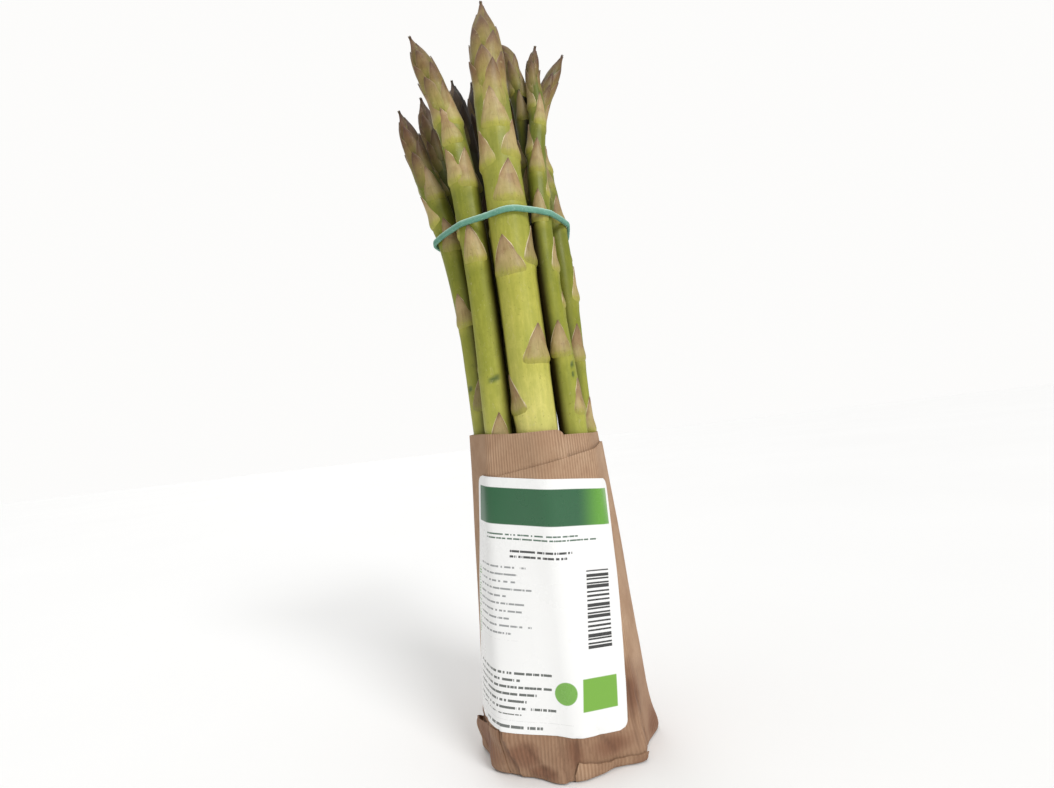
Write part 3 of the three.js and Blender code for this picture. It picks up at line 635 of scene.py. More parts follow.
def band_tree():
    """A closed band of rounded section along a curve."""
    tree, wire, given, result = new_group(
        "Band", "GeometryNodeTree",
        [("Loop", "NodeSocketGeometry", None), ("Section", "NodeSocketObject", None),
         ("Rubber", "NodeSocketMaterial", None)],
        [("Band", "NodeSocketGeometry")])
    section = wire.add("GeometryNodeObjectInfo", {"Object": given["Section"]}).outputs["Geometry"]
    upright = wire.add("GeometryNodeSetCurveNormal", {"Curve": given["Loop"]}, mode="Z_UP").outputs[0]
    body = wire.add("GeometryNodeCurveToMesh",
                    {"Curve": upright, "Profile Curve": section, "Fill Caps": False}).outputs[0]
    body = wire.add("GeometryNodeRealizeInstances", {"Geometry": body}).outputs[0]
    body = wire.add("GeometryNodeSetMaterial", {"Geometry": body, "Material": given["Rubber"]}).outputs[0]
    wire.feed(result["Band"], body)
    return tree


# Materials

def material(name):
    """A new material with its wiring and its main shader."""
    made = bpy.data.materials.new(name)
    made.use_nodes = True
    wire = Wiring(made.node_tree)
    return made, wire, made.node_tree.nodes["Principled BSDF"]


def fibres_group():
    """Plant skin: long streaks, small specks, blotches and a fine height."""
    tree, wire, given, result = new_group(
        "Plant skin", "ShaderNodeTree",
        [("Streak scale", "NodeSocketFloat", 900.0), ("Blotch scale", "NodeSocketFloat", 70.0)],
        [("Streaks", "NodeSocketFloat"), ("Specks", "NodeSocketFloat"), ("Blotches", "NodeSocketFloat"),
         ("Mottle", "NodeSocketFloat"), ("Scuffs", "NodeSocketFloat"), ("Height", "NodeSocketFloat")])
    place = wire.own_place()
    drawn = wire.add("ShaderNodeMapping", {"Vector": place, "Scale": (1.0, 1.0, 0.045)}).outputs[0]
    streaks = wire.noise(drawn, given["Streak scale"], 4.0, 0.6)
    blotches = wire.noise(place, given["Blotch scale"], 4.0, 0.6)
    grain = wire.noise(place, 2600.0, 2.0, 0.5)
    specks = wire.step(wire.noise(place, 1150.0, 1.0, 0.4), 0.66, 0.76)
    wire.feed(result["Streaks"], wire.step(streaks, 0.32, 0.68))
    wire.feed(result["Specks"], specks)
    flattened = wire.add("ShaderNodeMapping", {"Vector": place, "Scale": (1.0, 1.0, 0.5)}).outputs[0]
    wire.feed(result["Mottle"], wire.step(wire.noise(flattened, 330.0, 5.0, 0.7, 0.4), 0.40, 0.68))
    wire.feed(result["Scuffs"], wire.step(wire.noise(flattened, 620.0, 3.0, 0.6, 1.6), 0.62, 0.72))
    wire.feed(result["Blotches"], wire.step(blotches, 0.3, 0.7))
    wire.feed(result["Height"], wire.plus(streaks, wire.times(grain, 0.35)))
    return tree


def plant_skin(wire, shader, group, colour, bump, roughness, streak_scale=900.0, streak=0.30, scuffs=0.3):
    """Adds the shared plant skin and the spear's painted shade to a colour, and sets the finish."""
    skin = wire.add("ShaderNodeGroup", node_tree=group)
    skin.inputs["Streak scale"].default_value = streak_scale
    light = wire.tint(wire.times(skin.outputs["Streaks"], streak), colour, (1.42, 1.36, 1.5))
    dark = wire.tint(wire.times(skin.outputs["Blotches"], 0.34), light, (0.70, 0.76, 0.66))
    specked = wire.tint(wire.times(skin.outputs["Specks"], 0.5), dark, (0.62, 0.58, 0.5))
    mottled = wire.tint(wire.times(skin.outputs["Mottle"], 0.62), specked, (1.30, 1.24, 1.5))
    scuffed = wire.mix(wire.times(skin.outputs["Scuffs"], scuffs), mottled, (0.56, 0.50, 0.26, 1))
    # Painted shade: darker and browner where the spear faces the middle of the bunch and where other spears
    # come close.
    final = wire.tint(wire.attribute("painted_shade"), scuffed, (0.09, 0.06, 0.055))
    wire.feed(shader.inputs["Base Color"], final)
    wire.feed(shader.inputs["Roughness"],
              wire.math("MULTIPLY_ADD", skin.outputs["Blotches"], 0.12, roughness))
    wire.relief(shader, bump, 0.0002, skin.outputs["Height"])
    shader.inputs["Specular IOR Level"].default_value = 0.32
    shader.inputs["Coat Roughness"].default_value = 0.4
    shader.inputs["Coat Weight"].default_value = 0.05


def stem_material(group, tone):
    """Pale yellow-green low down and deep green above, yellow at the nodes, with long streaks."""
    made, wire, shader = material("Stem skin")
    height = wire.attribute("station")
    tint = wire.attribute("tint")
    fresh = wire.ramp(wire.math("DIVIDE", height, 0.27), [
        (0.0, (0.62, 0.58, 0.28)), (0.38, (0.60, 0.56, 0.16)), (0.48, (0.47, 0.455, 0.085)),
        (0.60, (0.375, 0.37, 0.052)), (0.72, (0.29, 0.295, 0.042)), (0.84, (0.225, 0.24, 0.036)),
        (1.0, (0.15, 0.16, 0.03))])
    toned = wire.tint(tint, fresh, (0.50, 0.57, 0.18))
    shaded = wire.tint(wire.times(wire.attribute("shade"), 0.35), toned, (0.62, 0.72, 0.6))
    glow = wire.mix(wire.times(wire.attribute("glow"), 0.40), shaded, (0.46, 0.43, 0.07, 1))
    cut = wire.mix(wire.times(wire.attribute("scar"), 0.9), glow, (0.06, 0.10, 0.02, 1))
    coloured = wire.tint(1.0, cut, tone)
    plant_skin(wire, shader, group, coloured, 0.4, 0.42)
    return made


def blade_material(name, group, tone, stops, margin, tip_dark, rims, tipward):
    """A bract or a bud scale: green at its foot, tan to purple above, with pale thin margins."""
    made, wire, shader = material(name)
    along = wire.attribute("along")
    across = wire.attribute("across")
    aside = wire.math("ABSOLUTE", across)
    place = wire.own_place()
    lengthwise = wire.add("ShaderNodeCombineXYZ", {0: wire.times(across, 9.0),
                                                   1: wire.times(along, 1.1),
                                                   2: wire.times(wire.attribute("turn"), 7.0)}).outputs[0]
    veins = wire.noise(lengthwise, 1.6, 4.0, 0.6)
    wander = wire.plus(wire.math("MULTIPLY_ADD", wire.noise(place, 380.0, 2.0), 0.2, -0.1),
                       wire.math("MULTIPLY_ADD", veins, 0.16, -0.08))
    body = wire.ramp(wire.plus(along, wander), stops)
    aged = wire.tint(wire.math("MULTIPLY", wire.attribute("tint"), tipward, clamp=True), body,
                     (0.34, 0.21, 0.24))
    veined = wire.tint(wire.step(veins, 0.5, 0.72, 0.0, 0.5), aged, (0.60, 0.56, 0.5))
    rim = wire.times(wire.step(aside, 0.55, 0.86), wire.step(along, 0.12, 0.5))
    rimmed = wire.tint(wire.times(rim, 0.4 * rims), veined, (0.62, 0.5, 0.46))
    clouds = wire.step(wire.noise(place, 130.0, 3.0), 0.46, 0.66)
    ruddy = wire.tint(wire.times(wire.times(clouds, wire.step(along, 0.15, 0.45)), 0.55), rimmed,
                      (0.66, 0.46, 0.50))
    edge = wire.times(wire.step(aside, 0.88, 0.94), wire.step(along, 0.10, 0.25))
    edged = wire.mix(wire.times(edge, rims), ruddy, (*margin, 1))
    tipped = wire.mix(wire.times(wire.step(along, 0.8, 1.0), tip_dark), edged, (0.13, 0.07, 0.045, 1))
    coloured = wire.tint(1.0, tipped, tone)
    plant_skin(wire, shader, group, coloured, 0.45, 0.46, 1300.0, 0.2)
    return made


def rubber_material(colour):
    made, wire, shader = material("Band rubber")
    place = wire.own_place()
    mottle = wire.noise(place, 420.0, 4.0, 0.65)
    dust = wire.step(wire.noise(place, 1500.0, 2.0), 0.5, 0.75)
    up = wire.parts(wire.add("ShaderNodeNewGeometry").outputs["Normal"])[2]
    body = wire.tint(wire.step(mottle, 0.35, 0.7, 0.0, 0.6), (*colour, 1), (0.72, 0.8, 0.72))
    # Painted highlight: the rubber is painted paler where its faces turn upward, towards the light.
    pale = wire.mix(wire.step(up, -0.1, 0.6, 0.0, 0.9), body, (0.52, 0.76, 0.64, 1))
    wire.feed(shader.inputs["Base Color"], wire.mix(wire.times(dust, 0.3), pale, (0.42, 0.60, 0.50, 1)))
    shader.inputs["Roughness"].default_value = 0.62
    wire.relief(shader, 0.4, 0.0002, mottle)
    return made


def paper_fibres_group():
    """Paper: cloudy pulp, short fibres and a fine tooth."""
    tree, wire, given, result = new_group(
        "Paper pulp", "ShaderNodeTree", [("Fibre scale", "NodeSocketFloat", 700.0)],
        [("Clouds", "NodeSocketFloat"), ("Fibres", "NodeSocketFloat"), ("Tooth", "NodeSocketFloat")])
    place = wire.own_place()
    drawn = wire.add("ShaderNodeMapping", {"Vector": place, "Scale": (1.0, 1.0, 0.3),
                                           "Rotation": (0.3, 0.2, 0.0)}).outputs[0]
    wire.feed(result["Clouds"], wire.noise(place, 90.0, 5.0, 0.6))
    wire.feed(result["Fibres"],
              wire.step(wire.noise(drawn, given["Fibre scale"], 2.0, 0.5, 1.5), 0.56, 0.7))
    wire.feed(result["Tooth"], wire.noise(place, 3200.0, 2.0, 0.5))
    return tree


def kraft_material(group, colour):
    """Ribbed brown kraft paper, with stains, and painted shade towards the base and along its creases and
    folds.
    """
    made, wire, shader = material("Kraft paper")
    pulp = wire.add("ShaderNodeGroup", node_tree=group).outputs
    sheet = wire.add("ShaderNodeUVMap", uv_map="sheet").outputs[0]
    across, up, _ = wire.parts(sheet)
    wobble = wire.times(wire.noise(sheet, 40.0, 3.0), 3.0)
    rib = wire.math("SINE", wire.math("MULTIPLY_ADD", across, 2 * math.pi / (RIB_PITCH * MM), wobble))
    ridge = wire.step(rib, -0.8, 0.8)
    body = wire.tint(wire.step(pulp["Clouds"], 0.3, 0.7), (*colour, 1), (0.84, 0.78, 0.74))
    patchy = wire.times(ridge, wire.step(wire.noise(sheet, 55.0, 2.0), 0.25, 0.75, 0.15, 0.75))
    patchy = wire.blend(wire.step(up, 0.004, 0.030, 0.45, 1.0), 0.35, patchy)
    ribbed = wire.mix(patchy, wire.tint(1.0, body, (0.80, 0.76, 0.72)),
                      wire.tint(1.0, body, (1.22, 1.26, 1.34)))
    fibred = wire.mix(wire.times(pulp["Fibres"], 0.3), ribbed, wire.tint(1.0, body, (0.55, 0.48, 0.42)))
    place = wire.own_place()
    drift = wire.math("MULTIPLY_ADD", wire.noise(place, 60.0, 4.0, 0.6), 1.6, -0.8)
    # Painted shade: the paper darkens towards its bottom, where shade falls low on the sleeve.
    low = wire.step(wire.math("MULTIPLY_ADD", drift, 0.012, up), 0.034, 0.018, 0.0, 0.30)
    stain_and_shade = low
    # Damp stains, which near the base also stand in for shade.
    for turn, height, half, tall in STAIN_AND_SHADE_SPOTS:
        aside = wire.math("DIVIDE", wire.minus(across, turn * MM_PER_DEGREE * MM),
                          half * MM_PER_DEGREE * MM)
        above = wire.math("DIVIDE", wire.minus(up, height * MM), tall * MM)
        away = wire.distance(aside, above)
        stain_and_shade = wire.math("MAXIMUM", stain_and_shade, wire.step(wire.plus(away, drift), 1.45, 0.25))
    # The stains and the painted shade near the base darken the paper, darkest at their edge.
    stain_and_shade_edge = wire.times(stain_and_shade, wire.minus(1.0, stain_and_shade))
    # Painted shade along the creases and beside the folded edges.
    fibred = wire.tint(wire.attribute("crease_shade"), fibred, (0.45, 0.38, 0.34))
    stained_and_shaded = wire.tint(wire.times(stain_and_shade, 0.95), fibred, (0.50, 0.36, 0.30))
    rimmed = wire.mix(wire.times(stain_and_shade_edge, 0.8), stained_and_shaded, wire.tint(1.0, fibred, (0.50, 0.38, 0.33)))
    wire.feed(shader.inputs["Base Color"], rimmed)
    wire.feed(shader.inputs["Roughness"], wire.math("MULTIPLY_ADD", stain_and_shade, -0.12, 0.82))
    height = wire.plus(ridge, wire.times(pulp["Tooth"], 0.5))
    wire.relief(shader, 0.5, 0.00018, height)
    return made


def label_material(group, paper, green):
    """Coated white paper printed with a green band, stripes, a disc, a square and plain grey rules."""
    made, wire, shader = material("Label print")
    pulp = wire.add("ShaderNodeGroup", node_tree=group).outputs
    x, y, _ = wire.parts(wire.add("ShaderNodeUVMap", uv_map="print").outputs[0])

    def box(left, right, low, high, soft=0.15):
        inside = wire.times(wire.step(x, left - soft, left + soft),
                            wire.step(x, right + soft, right - soft))
        upright = wire.times(wire.step(y, low - soft, low + soft), wire.step(y, high + soft, high - soft))
        return wire.times(inside, upright)

    def rules(pitch, share, offset=0.0):
        wave = wire.math("FRACT", wire.math("DIVIDE", wire.plus(y, 100.0 + offset), pitch))
        return wire.math("LESS_THAN", wave, share)

    def words(left, right, low, high, pitch, share):
        row = wire.math("FLOOR", wire.math("DIVIDE", wire.plus(y, 100.0), pitch))
        place = wire.add("ShaderNodeCombineXYZ", {0: x, 1: wire.times(row, 7.3)}).outputs[0]
        dashes = wire.math("GREATER_THAN", wire.noise(place, 1.3, 1.0), 0.43)
        drift = (right - left) * 0.2
        end = wire.math("MULTIPLY_ADD", wire.math("SINE", wire.times(row, 2.4)), drift, right - drift)
        ragged = wire.math("LESS_THAN", x, end)
        line = wire.times(wire.times(dashes, ragged), rules(pitch, share))
        return wire.times(box(left, right, low, high), line)

    def add(colour, mask, ink):
        return wire.mix(mask, colour, (*ink, 1))

    colour = wire.mix(wire.times(pulp["Clouds"], 0.06), (*paper, 1), (0.70, 0.70, 0.66, 1))
    fade = wire.step(wire.noise(wire.own_place(), 60.0, 3.0), 0.3, 0.75, 0.0, 0.25)
    header = wire.tint(fade, (*green, 1), (1.4, 1.25, 1.3))
    header = wire.mix(wire.step(x, 11.0, 22.0, 0.0, 0.8), header, (0.14, 0.40, 0.03, 1))
    colour = wire.mix(box(-26.0, 25.6, 24.4, 36.4), colour, header)
    stripes = wire.math("MAXIMUM", rules(1.32, 0.42), rules(3.1, 0.22, 0.7))
    colour = add(colour, wire.times(box(14.2, 23.0, -14.5, 10.0), stripes), (0.03, 0.03, 0.03))
    for left, right, low, high, pitch, share, ink in (
            (-21.0, 21.0, 19.4, 22.0, 1.3, 0.4, (0.10, 0.16, 0.12)),
            (-12.0, 16.0, 13.0, 17.0, 1.7, 0.42, (0.06, 0.06, 0.06)),
            (-24.5, -4.0, -12.0, 11.5, 2.3, 0.26, (0.30, 0.31, 0.31)),
            (-24.5, 4.0, -34.5, -20.5, 2.1, 0.36, (0.12, 0.13, 0.12)),
            (-20.0, 13.0, -38.4, -36.2, 2.2, 0.4, (0.14, 0.15, 0.14)),
            (-26.8, -24.9, -14.0, 9.0, 0.9, 0.6, (0.16, 0.36, 0.10))):
        colour = add(colour, words(left, right, low, high, pitch, share), ink)
    colour = add(colour, box(12.1, 24.1, -32.5, -22.9), (0.17, 0.40, 0.035))
    away = wire.distance(wire.minus(x, 6.9), wire.plus(y, 26.9))
    colour = add(colour, wire.step(away, 3.6, 3.3), (0.17, 0.40, 0.06))
    wire.feed(shader.inputs["Base Color"], colour)
    wire.feed(shader.inputs["Roughness"], wire.math("MULTIPLY_ADD", pulp["Clouds"], 0.12, 0.22))
    shader.inputs["Coat Weight"].default_value = 0.35
    shader.inputs["Coat Roughness"].default_value = 0.14
    wire.relief(shader, 0.12, 0.0001, pulp["Tooth"])
    return made


# The spears

def make_blade(columns=15, rows=17):
    """A unit blade: X runs across it from -1 to 1, Y along it from 0 to 1, and Z from skin to skin."""
    across = np.linspace(-1, 1, columns)
    along = np.linspace(0, 1, rows) ** 0.9
    along[-1] = 0.985
    grid = np.array([(u, v) for v in along for u in across])
    outer = np.column_stack([grid, np.ones(len(grid))])
    inner = np.column_stack([grid, np.zeros(len(grid))])
    return mesh_object("blade", np.vstack([outer, inner]), shell_faces(rows, columns), scale=1.0)


def stations_of(spear, step=1.2):
    """Heights along a spear and the length of stem below each, in millimetres."""
    top = spear["route"][-1][2]
    heights = np.linspace(CUT_END, top, int((top - CUT_END) / step))
    points = centres(spear["route"], heights)
    lengths = np.concatenate([[0], np.cumsum(np.linalg.norm(np.diff(points, axis=0), axis=1))])
    return heights, points, lengths


def make_route(spear):
    """The spear's centre line as a curve whose radius is the stem's, slimmer inside the bud."""
    heights, points, lengths = stations_of(spear)
    tip = spear["route"][-1][2]
    head = spear["radii"][3] * HEAD_SWELL
    budfoot = tip - spear["radii"][3] * HEAD_LENGTH
    bud = head * np.interp((tip - heights) / (head * HEAD_TAPER), *zip(*BUD_PROFILE))
    radii = np.where(heights > tip - head * HEAD_TAPER, bud, radii_at(spear, heights))
    radii = np.maximum(radii - 0.55 * step_up(heights, budfoot - 3, budfoot + 5), 0.12)
    return line_object("route", points * MM, radii=radii * MM), heights, lengths


def painted_shade_at(spear, turn):
    """How much painted shade a spear gets at an azimuth in radians: most where it faces the middle of the
    bunch.
    """
    x, y, _ = spear["route"][-2]
    inward = math.atan2(BAND_CENTRE[0] - x, y - BAND_CENTRE[1])
    return spear["painted_shade"] * (0.55 + 0.45 * np.cos(np.asarray(turn, float) - inward))


def closeness(spear, heights, turn):
    """How close the other spears come to places on a spear's skin: 1 where they nearly touch."""
    reach = facing(np.degrees(turn)) * radii_at(spear, heights)[..., None]
    skin = centres(spear["route"], heights)[..., :2] + reach
    near = np.full(np.shape(heights), 99.0)
    for other in SPEARS.values():
        if other is not spear:
            apart = np.linalg.norm(skin - centres(other["route"], heights)[..., :2], axis=-1)
            gap = apart - radii_at(other, heights)
            near = np.where(heights < other["route"][-1][2], np.minimum(near, gap), near)
    return 1 - step_up(near, 0.6, 4.6)


def blade_seeds(spear, heights, lengths, random):
    """One row for each bract, then one for each scale of the bud, with what the tree reads of them."""
    tip = spear["route"][-1][2]
    neck = spear["radii"][3]
    rows = []
    for foot, turn in spear["bracts"]:
        radius = float(radii_at(spear, foot))
        rows.append({
            "kind": 1, "turn": math.radians(turn + random.uniform(-4, 4)), "foot": foot,
            "length": (10.6 + 0.5 * radius) * random.uniform(0.95, 1.08),
            "spread": math.radians(random.uniform(60, 70)),
            "lift_foot": 0.0, "lift_tip": 0.08, "knob": 0.40 + 0.05 * radius,
            "curl": random.uniform(0, 0.18),
            "hug": 0.30, "skew": random.uniform(-0.12, 0.12), "fullness": random.uniform(1.35, 1.6),
            "tint": random.uniform(0, 0.6)})
    scales = int(14 + 2 * neck)
    for i in range(scales):
        share = i / scales
        foot = tip - (neck * HEAD_LENGTH + 6.0) * (1 - share) ** 1.05 - 1.0
        age = 0.85 * share**1.1 + spear["ruddy"] * (0.45 + 0.55 * share)
        rows.append({
            "kind": 2, "turn": math.radians(spear["turn"] + GOLDEN_ANGLE * i + random.uniform(-8, 8)),
            "foot": foot,
            "length": min((6.0 + 1.75 * neck) * (1 - 0.25 * share) * random.uniform(0.92, 1.08),
                          tip + 0.1 - foot),
            "spread": math.radians(random.uniform(64, 78)), "lift_foot": -0.30,
            "lift_tip": 0.02 + 0.38 * (1 - share), "knob": 0.12 * (1 - share),
            "curl": random.uniform(0.0, 0.3) * (1 - share),
            "hug": 0.30 * (1 - 0.7 * share), "skew": random.uniform(-0.1, 0.1),
            "fullness": random.uniform(1.5, 1.8),
            "tint": min(random.uniform(-0.08, 0.08) + age, 1)})
    for row in rows:
        middle = row["foot"] + row["length"] / 2
        near = closeness(spear, np.array(middle), row["turn"])
        # Painted shade on each blade, as on the stem beneath it.
        row["painted_shade"] = min(float(painted_shade_at(spear, row["turn"]) + 0.3 * near), 1)
        end = row["foot"] + row["length"]
        start = float(np.interp(row["foot"], heights, lengths))
        row["length"] = float(np.interp(min(end, tip), heights, lengths)) - start
        row["foot"] = start
    return rows


def make_seeds(rows):
    thing = mesh_object("seeds", np.zeros((len(rows), 3)), [])
    in_metres = {"foot", "length", "lift_foot", "lift_tip", "knob", "curl", "hug"}
    for key in rows[0]:
        store(thing.data, key, [row[key] * (MM if key in in_metres else 1) for row in rows])
    return thing


def stem_relief(rows, scars, station, angle):
    """The stem's relief in millimetres, its glow at the nodes, its shade under the bracts and its scars."""
    turned = np.array([row["turn"] for row in rows if row["kind"] == 1])
    feet = np.array([row["foot"] for row in rows if row["kind"] == 1])
    apart = (angle[..., None] - turned + math.pi) % (2 * math.pi) - math.pi
    up = station[..., None] - feet
    node = np.exp(-((up + 0.9) / 2.0) ** 2 - (apart / 0.9) ** 2)
    keel = np.exp(-((up + 7) / 6.0) ** 2 - (apart / 0.16) ** 2)
    shadow = np.exp(-((up - 6) / 6.0) ** 2 - (apart / 1.25) ** 2)
    lift = 0.34 * node.max(-1) + 0.12 * keel.sum(-1)
    lift += 0.05 * np.sin(3 * angle + 0.05 * station) + 0.04 * np.sin(7 * angle - 0.11 * station)
    scar = np.zeros_like(lift)
    for height, turn, half in scars:
        aside = (angle - math.radians(turn) + math.pi) % (2 * math.pi) - math.pi
        tilted = station - height - 1.2 * aside
        scar = np.maximum(scar, np.exp(-(tilted / 1.05) ** 4 - (aside / math.radians(half)) ** 4))
    return lift - 0.35 * scar, np.clip(node.max(-1), 0, 1), np.clip(shadow.max(-1), 0, 1), scar


def make_stem(spear, rows, scars, heights, lengths, sides):
    """The stem's closed skin as angles, lengths and lifts, with its colour and painted shade masks."""
    rings = np.arange(1.4, lengths[-1] - 0.6, 0.9)
    stations = np.concatenate([[0.0, 0.0, 0.0, 0.25], rings, [lengths[-1] - 0.1]])
    station, angle = np.meshgrid(stations, np.linspace(0, 2 * math.pi, sides, endpoint=False),
                                 indexing="ij")
    lift, glow, shade, scar = stem_relief(rows, scars, station, angle)
    # Painted shade on the stem: more where it faces the middle of the bunch and where other spears come
    # close.
    painted_shade = painted_shade_at(spear, angle) + 0.95 * closeness(spear, np.interp(station, lengths, heights), angle)
    cut_radius = float(radii_at(spear, CUT_END))
    lift[:3] = -cut_radius * np.array([1.0, 0.45, 0.07])[:, None] + 0.02
    lift[-1] = -0.1
    flat = np.column_stack([angle.ravel(), station.ravel() * MM, lift.ravel() * MM])
    faces = []
    for ring in range(len(stations) - 1):
        for side in range(sides):
            a, b = ring * sides + side, ring * sides + (side + 1) % sides
            faces.append((a, b, b + sides, a + sides))
    last = (len(stations) - 1) * sides
    faces.append(tuple(range(sides - 1, -1, -1)))
    faces.append(tuple(range(last, last + sides)))
    thing = mesh_object("stem_sheet", flat, faces, scale=1.0)
    for name, values in {"glow": glow.ravel(), "shade": shade.ravel(),
                         "tint": np.full(len(flat), spear["green"]),
                         "scar": scar.ravel(), "painted_shade": np.clip(painted_shade, 0, 1).ravel()}.items():
        store(thing.data, name, values)
    return thing


def make_spear(name, spear, tree, blade, materials, settings, random):
    route, heights, lengths = make_route(spear)
    rows = blade_seeds(spear, heights, lengths, random)
    seeds = make_seeds(rows)
    scars = [(float(np.interp(height, heights, lengths)), *rest)
             for height, *rest in SCARS.get(name.removeprefix("spear_"), ())]
    stem = make_stem(spear, rows, scars, heights, lengths, settings.stem_sides)
    modifier = stem.modifiers.new("Spear", "NODES")
    modifier.node_group = tree
    keys = socket_keys(tree)
    given = {"Route": route, "Seeds": seeds, "Blade": blade, "Thickness": settings.blade_thickness,
             "Stem skin": materials[0], "Bract skin": materials[1], "Bud skin": materials[2]}
    for label, value in given.items():
        modifier[keys[label]] = value
    piece = made_real(stem, f"{name}_fine")
    for helper in (route, seeds):
        bpy.data.objects.remove(helper, do_unlink=True)
    finish_shading(piece, 50)
    return piece


# The band

def make_loop():
    """The band's centre line, stretched round the spears in its tilted plane."""
    degrees = np.arange(0, 360, 2.0)
    radius = reach_of_bunch(BAND["height"], BAND_CENTRE, degrees)
    flat = facing(degrees) * radius[:, None] + np.array(BAND_CENTRE)
    heights = band_height(flat[:, 0], flat[:, 1])
    snug = np.array([max(reach_of_bunch(z + side, BAND_CENTRE, [turn])[0] for side in (-1.0, 1.0))
                     for z, turn in zip(heights, degrees)])
    snug += BAND["gap"] + 0.62
    flat = facing(degrees) * snug[:, None] + np.array(BAND_CENTRE)
    wobble = 0.10 * np.sin(np.radians(degrees) * 5) + 0.06 * np.sin(np.radians(degrees) * 11 + 1)
    points = np.column_stack([flat, band_height(flat[:, 0], flat[:, 1]) + wobble]) * MM
    return line_object("loop", points, closed=True)


# The sleeve

def from_line(z, degrees, start, high, end, down):
    """Places on the sheet from the start of a line drawn on it, and the line's own run, in millimetres."""
    here = np.stack([(((degrees - start + 540) % 360) - 180) * MM_PER_DEGREE, z - high], axis=-1)
    return here, np.array([(end - start) * MM_PER_DEGREE, down - high])


def overlaps(z, degrees):
    """How far the folded edges stand out, as a sharp step that eases away, and the shadow beside them."""
    out, shadow = 0.0, 0.0
    for start, high, end, down, height in FOLDS:
        here, run = from_line(z, degrees, start, high, end, down)
        along = run / math.hypot(*run)
        below = here @ along
        aside = (here[..., 0] * -along[1] + here[..., 1] * along[0]) * -math.copysign(1, height)
        face = step_up(aside, -0.25, 0.25) * np.exp(-np.maximum(aside, 0) / 5.0)
        out = out + abs(height) * face * step_up(below, 0, 5)
        beside = step_up(-aside, -0.5, 0.2) * np.exp(-np.maximum(-aside, 0) / 1.2)
        shadow = np.maximum(shadow, beside * step_up(below, -1, 3))
    return out, shadow


def base_folds(z, degrees):
    """The corners, hollows and gathers of the folded base, fading out upwards."""
    fade = 1 - step_up(z, BASE_EDGE, FOLD_HEIGHT)
    gathers = 0.4 * np.abs(np.sin(np.radians(degrees * 5.5 + 24 * np.sin(np.radians(3 * degrees)))))
    return fade * (gathers + sum(out * bump(degrees, middle, half) for middle, half, out in BASE_CORNERS))


def corner_in(z):
    """How far the paper turns in at its folded base."""
    low = np.clip((BASE_EDGE - z) / BASE_EDGE, 0, 1)
    return 0.6 * low**1.5


def paper_sheet(turns, low, high, offset, rows, closed=False, pattern_rise=0.0):
    """A closed thin sheet of paper between two heights, at an offset from the sleeve's inside.

    The last argument moves the sheet up in its pattern, away from the stains and the painted shade near the
    base."""
    shares = np.linspace(0, 1, rows)
    grid_turn = np.broadcast_to(turns, (rows, len(turns)))
    z = low(turns)[None, :] * (1 - shares[:, None]) + high(turns)[None, :] * shares[:, None]
    radius = sleeve_inside(z, grid_turn) + base_folds(z, grid_turn) - corner_in(z) + offset(z, grid_turn)
    points = [points_round(grid_turn, skin, z) for skin in (radius + PAPER_THICKNESS, radius)]
    sheet = np.column_stack([grid_turn.ravel() * MM_PER_DEGREE, z.ravel() + pattern_rise])
    return np.vstack(points), shell_faces(rows, len(turns), closed), np.vstack([sheet, sheet])


def crease_shade(z, degrees):
    """How much painted shade the paper gets along its creases and beside its folded edges."""
    return np.clip(0.75 * overlaps(z, degrees)[1] + 0.5 * dents_at(z, degrees)[1], 0, 1)


def dents_at(z, degrees):
    """How deep the creases are, and a line along the middle of each."""
    dents, line = 0.0, 0.0
    for start, high, end, down, depth in CREASES:
        here, run = from_line(z, degrees, start, high, end, down)
        share = np.clip(here @ run / (run @ run), 0, 1)
        away = np.linalg.norm(here - share[..., None] * run, axis=-1)
        dents = dents - depth * np.exp(-(away / 0.9) ** 2) + 0.4 * depth * np.exp(-(away / 3.0) ** 2)
        line = np.maximum(line, np.exp(-(away / 0.7) ** 2))
    return dents, line


def crumple(z, degrees):
    """Small uneven waves in the paper, stronger near the base, and the creases."""
    turn = np.radians(degrees)
    waves = (0.10 * np.sin(2 * turn + 0.06 * z) + 0.07 * np.sin(5 * turn - 0.09 * z + 1)
             + 0.05 * np.sin(9 * turn + 0.17 * z + 2))
    low = 1 - step_up(z, 4, 26)
    facets = np.abs(np.sin(7 * turn + 0.31 * z)) + np.abs(np.sin(5 * turn - 0.23 * z + 0.7)) - 1.2
    return waves + 0.22 * low * facets + dents_at(z, degrees)[0] + overlaps(z, degrees)[0]


def outer_top(turns):
    """The outer ply's slanting top edge."""
    turn = np.where(turns > 180, turns - 360, turns)
    share = np.clip((OUTER_EDGE["from"] - turn) / (OUTER_EDGE["from"] - OUTER_EDGE["to"]), 0, 1)
    return OUTER_EDGE["right"] + (OUTER_EDGE["left"] - OUTER_EDGE["right"]) * share


def join_sheets(name, sheets):
    points, faces, places, start = [], [], [], 0
    for sheet_points, sheet_faces, sheet_places in sheets:
        points.append(sheet_points)
        faces += [tuple(corner + start for corner in face) for face in sheet_faces]
        places.append(sheet_places)
        start += len(sheet_points)
    thing = mesh_object(name, np.vstack(points), faces)
    places = np.vstack(places)
    store_places(thing, "sheet", places * MM)
    store(thing.data, "crease_shade", crease_shade(places[:, 1], places[:, 0] / MM_PER_DEGREE))
    return thing


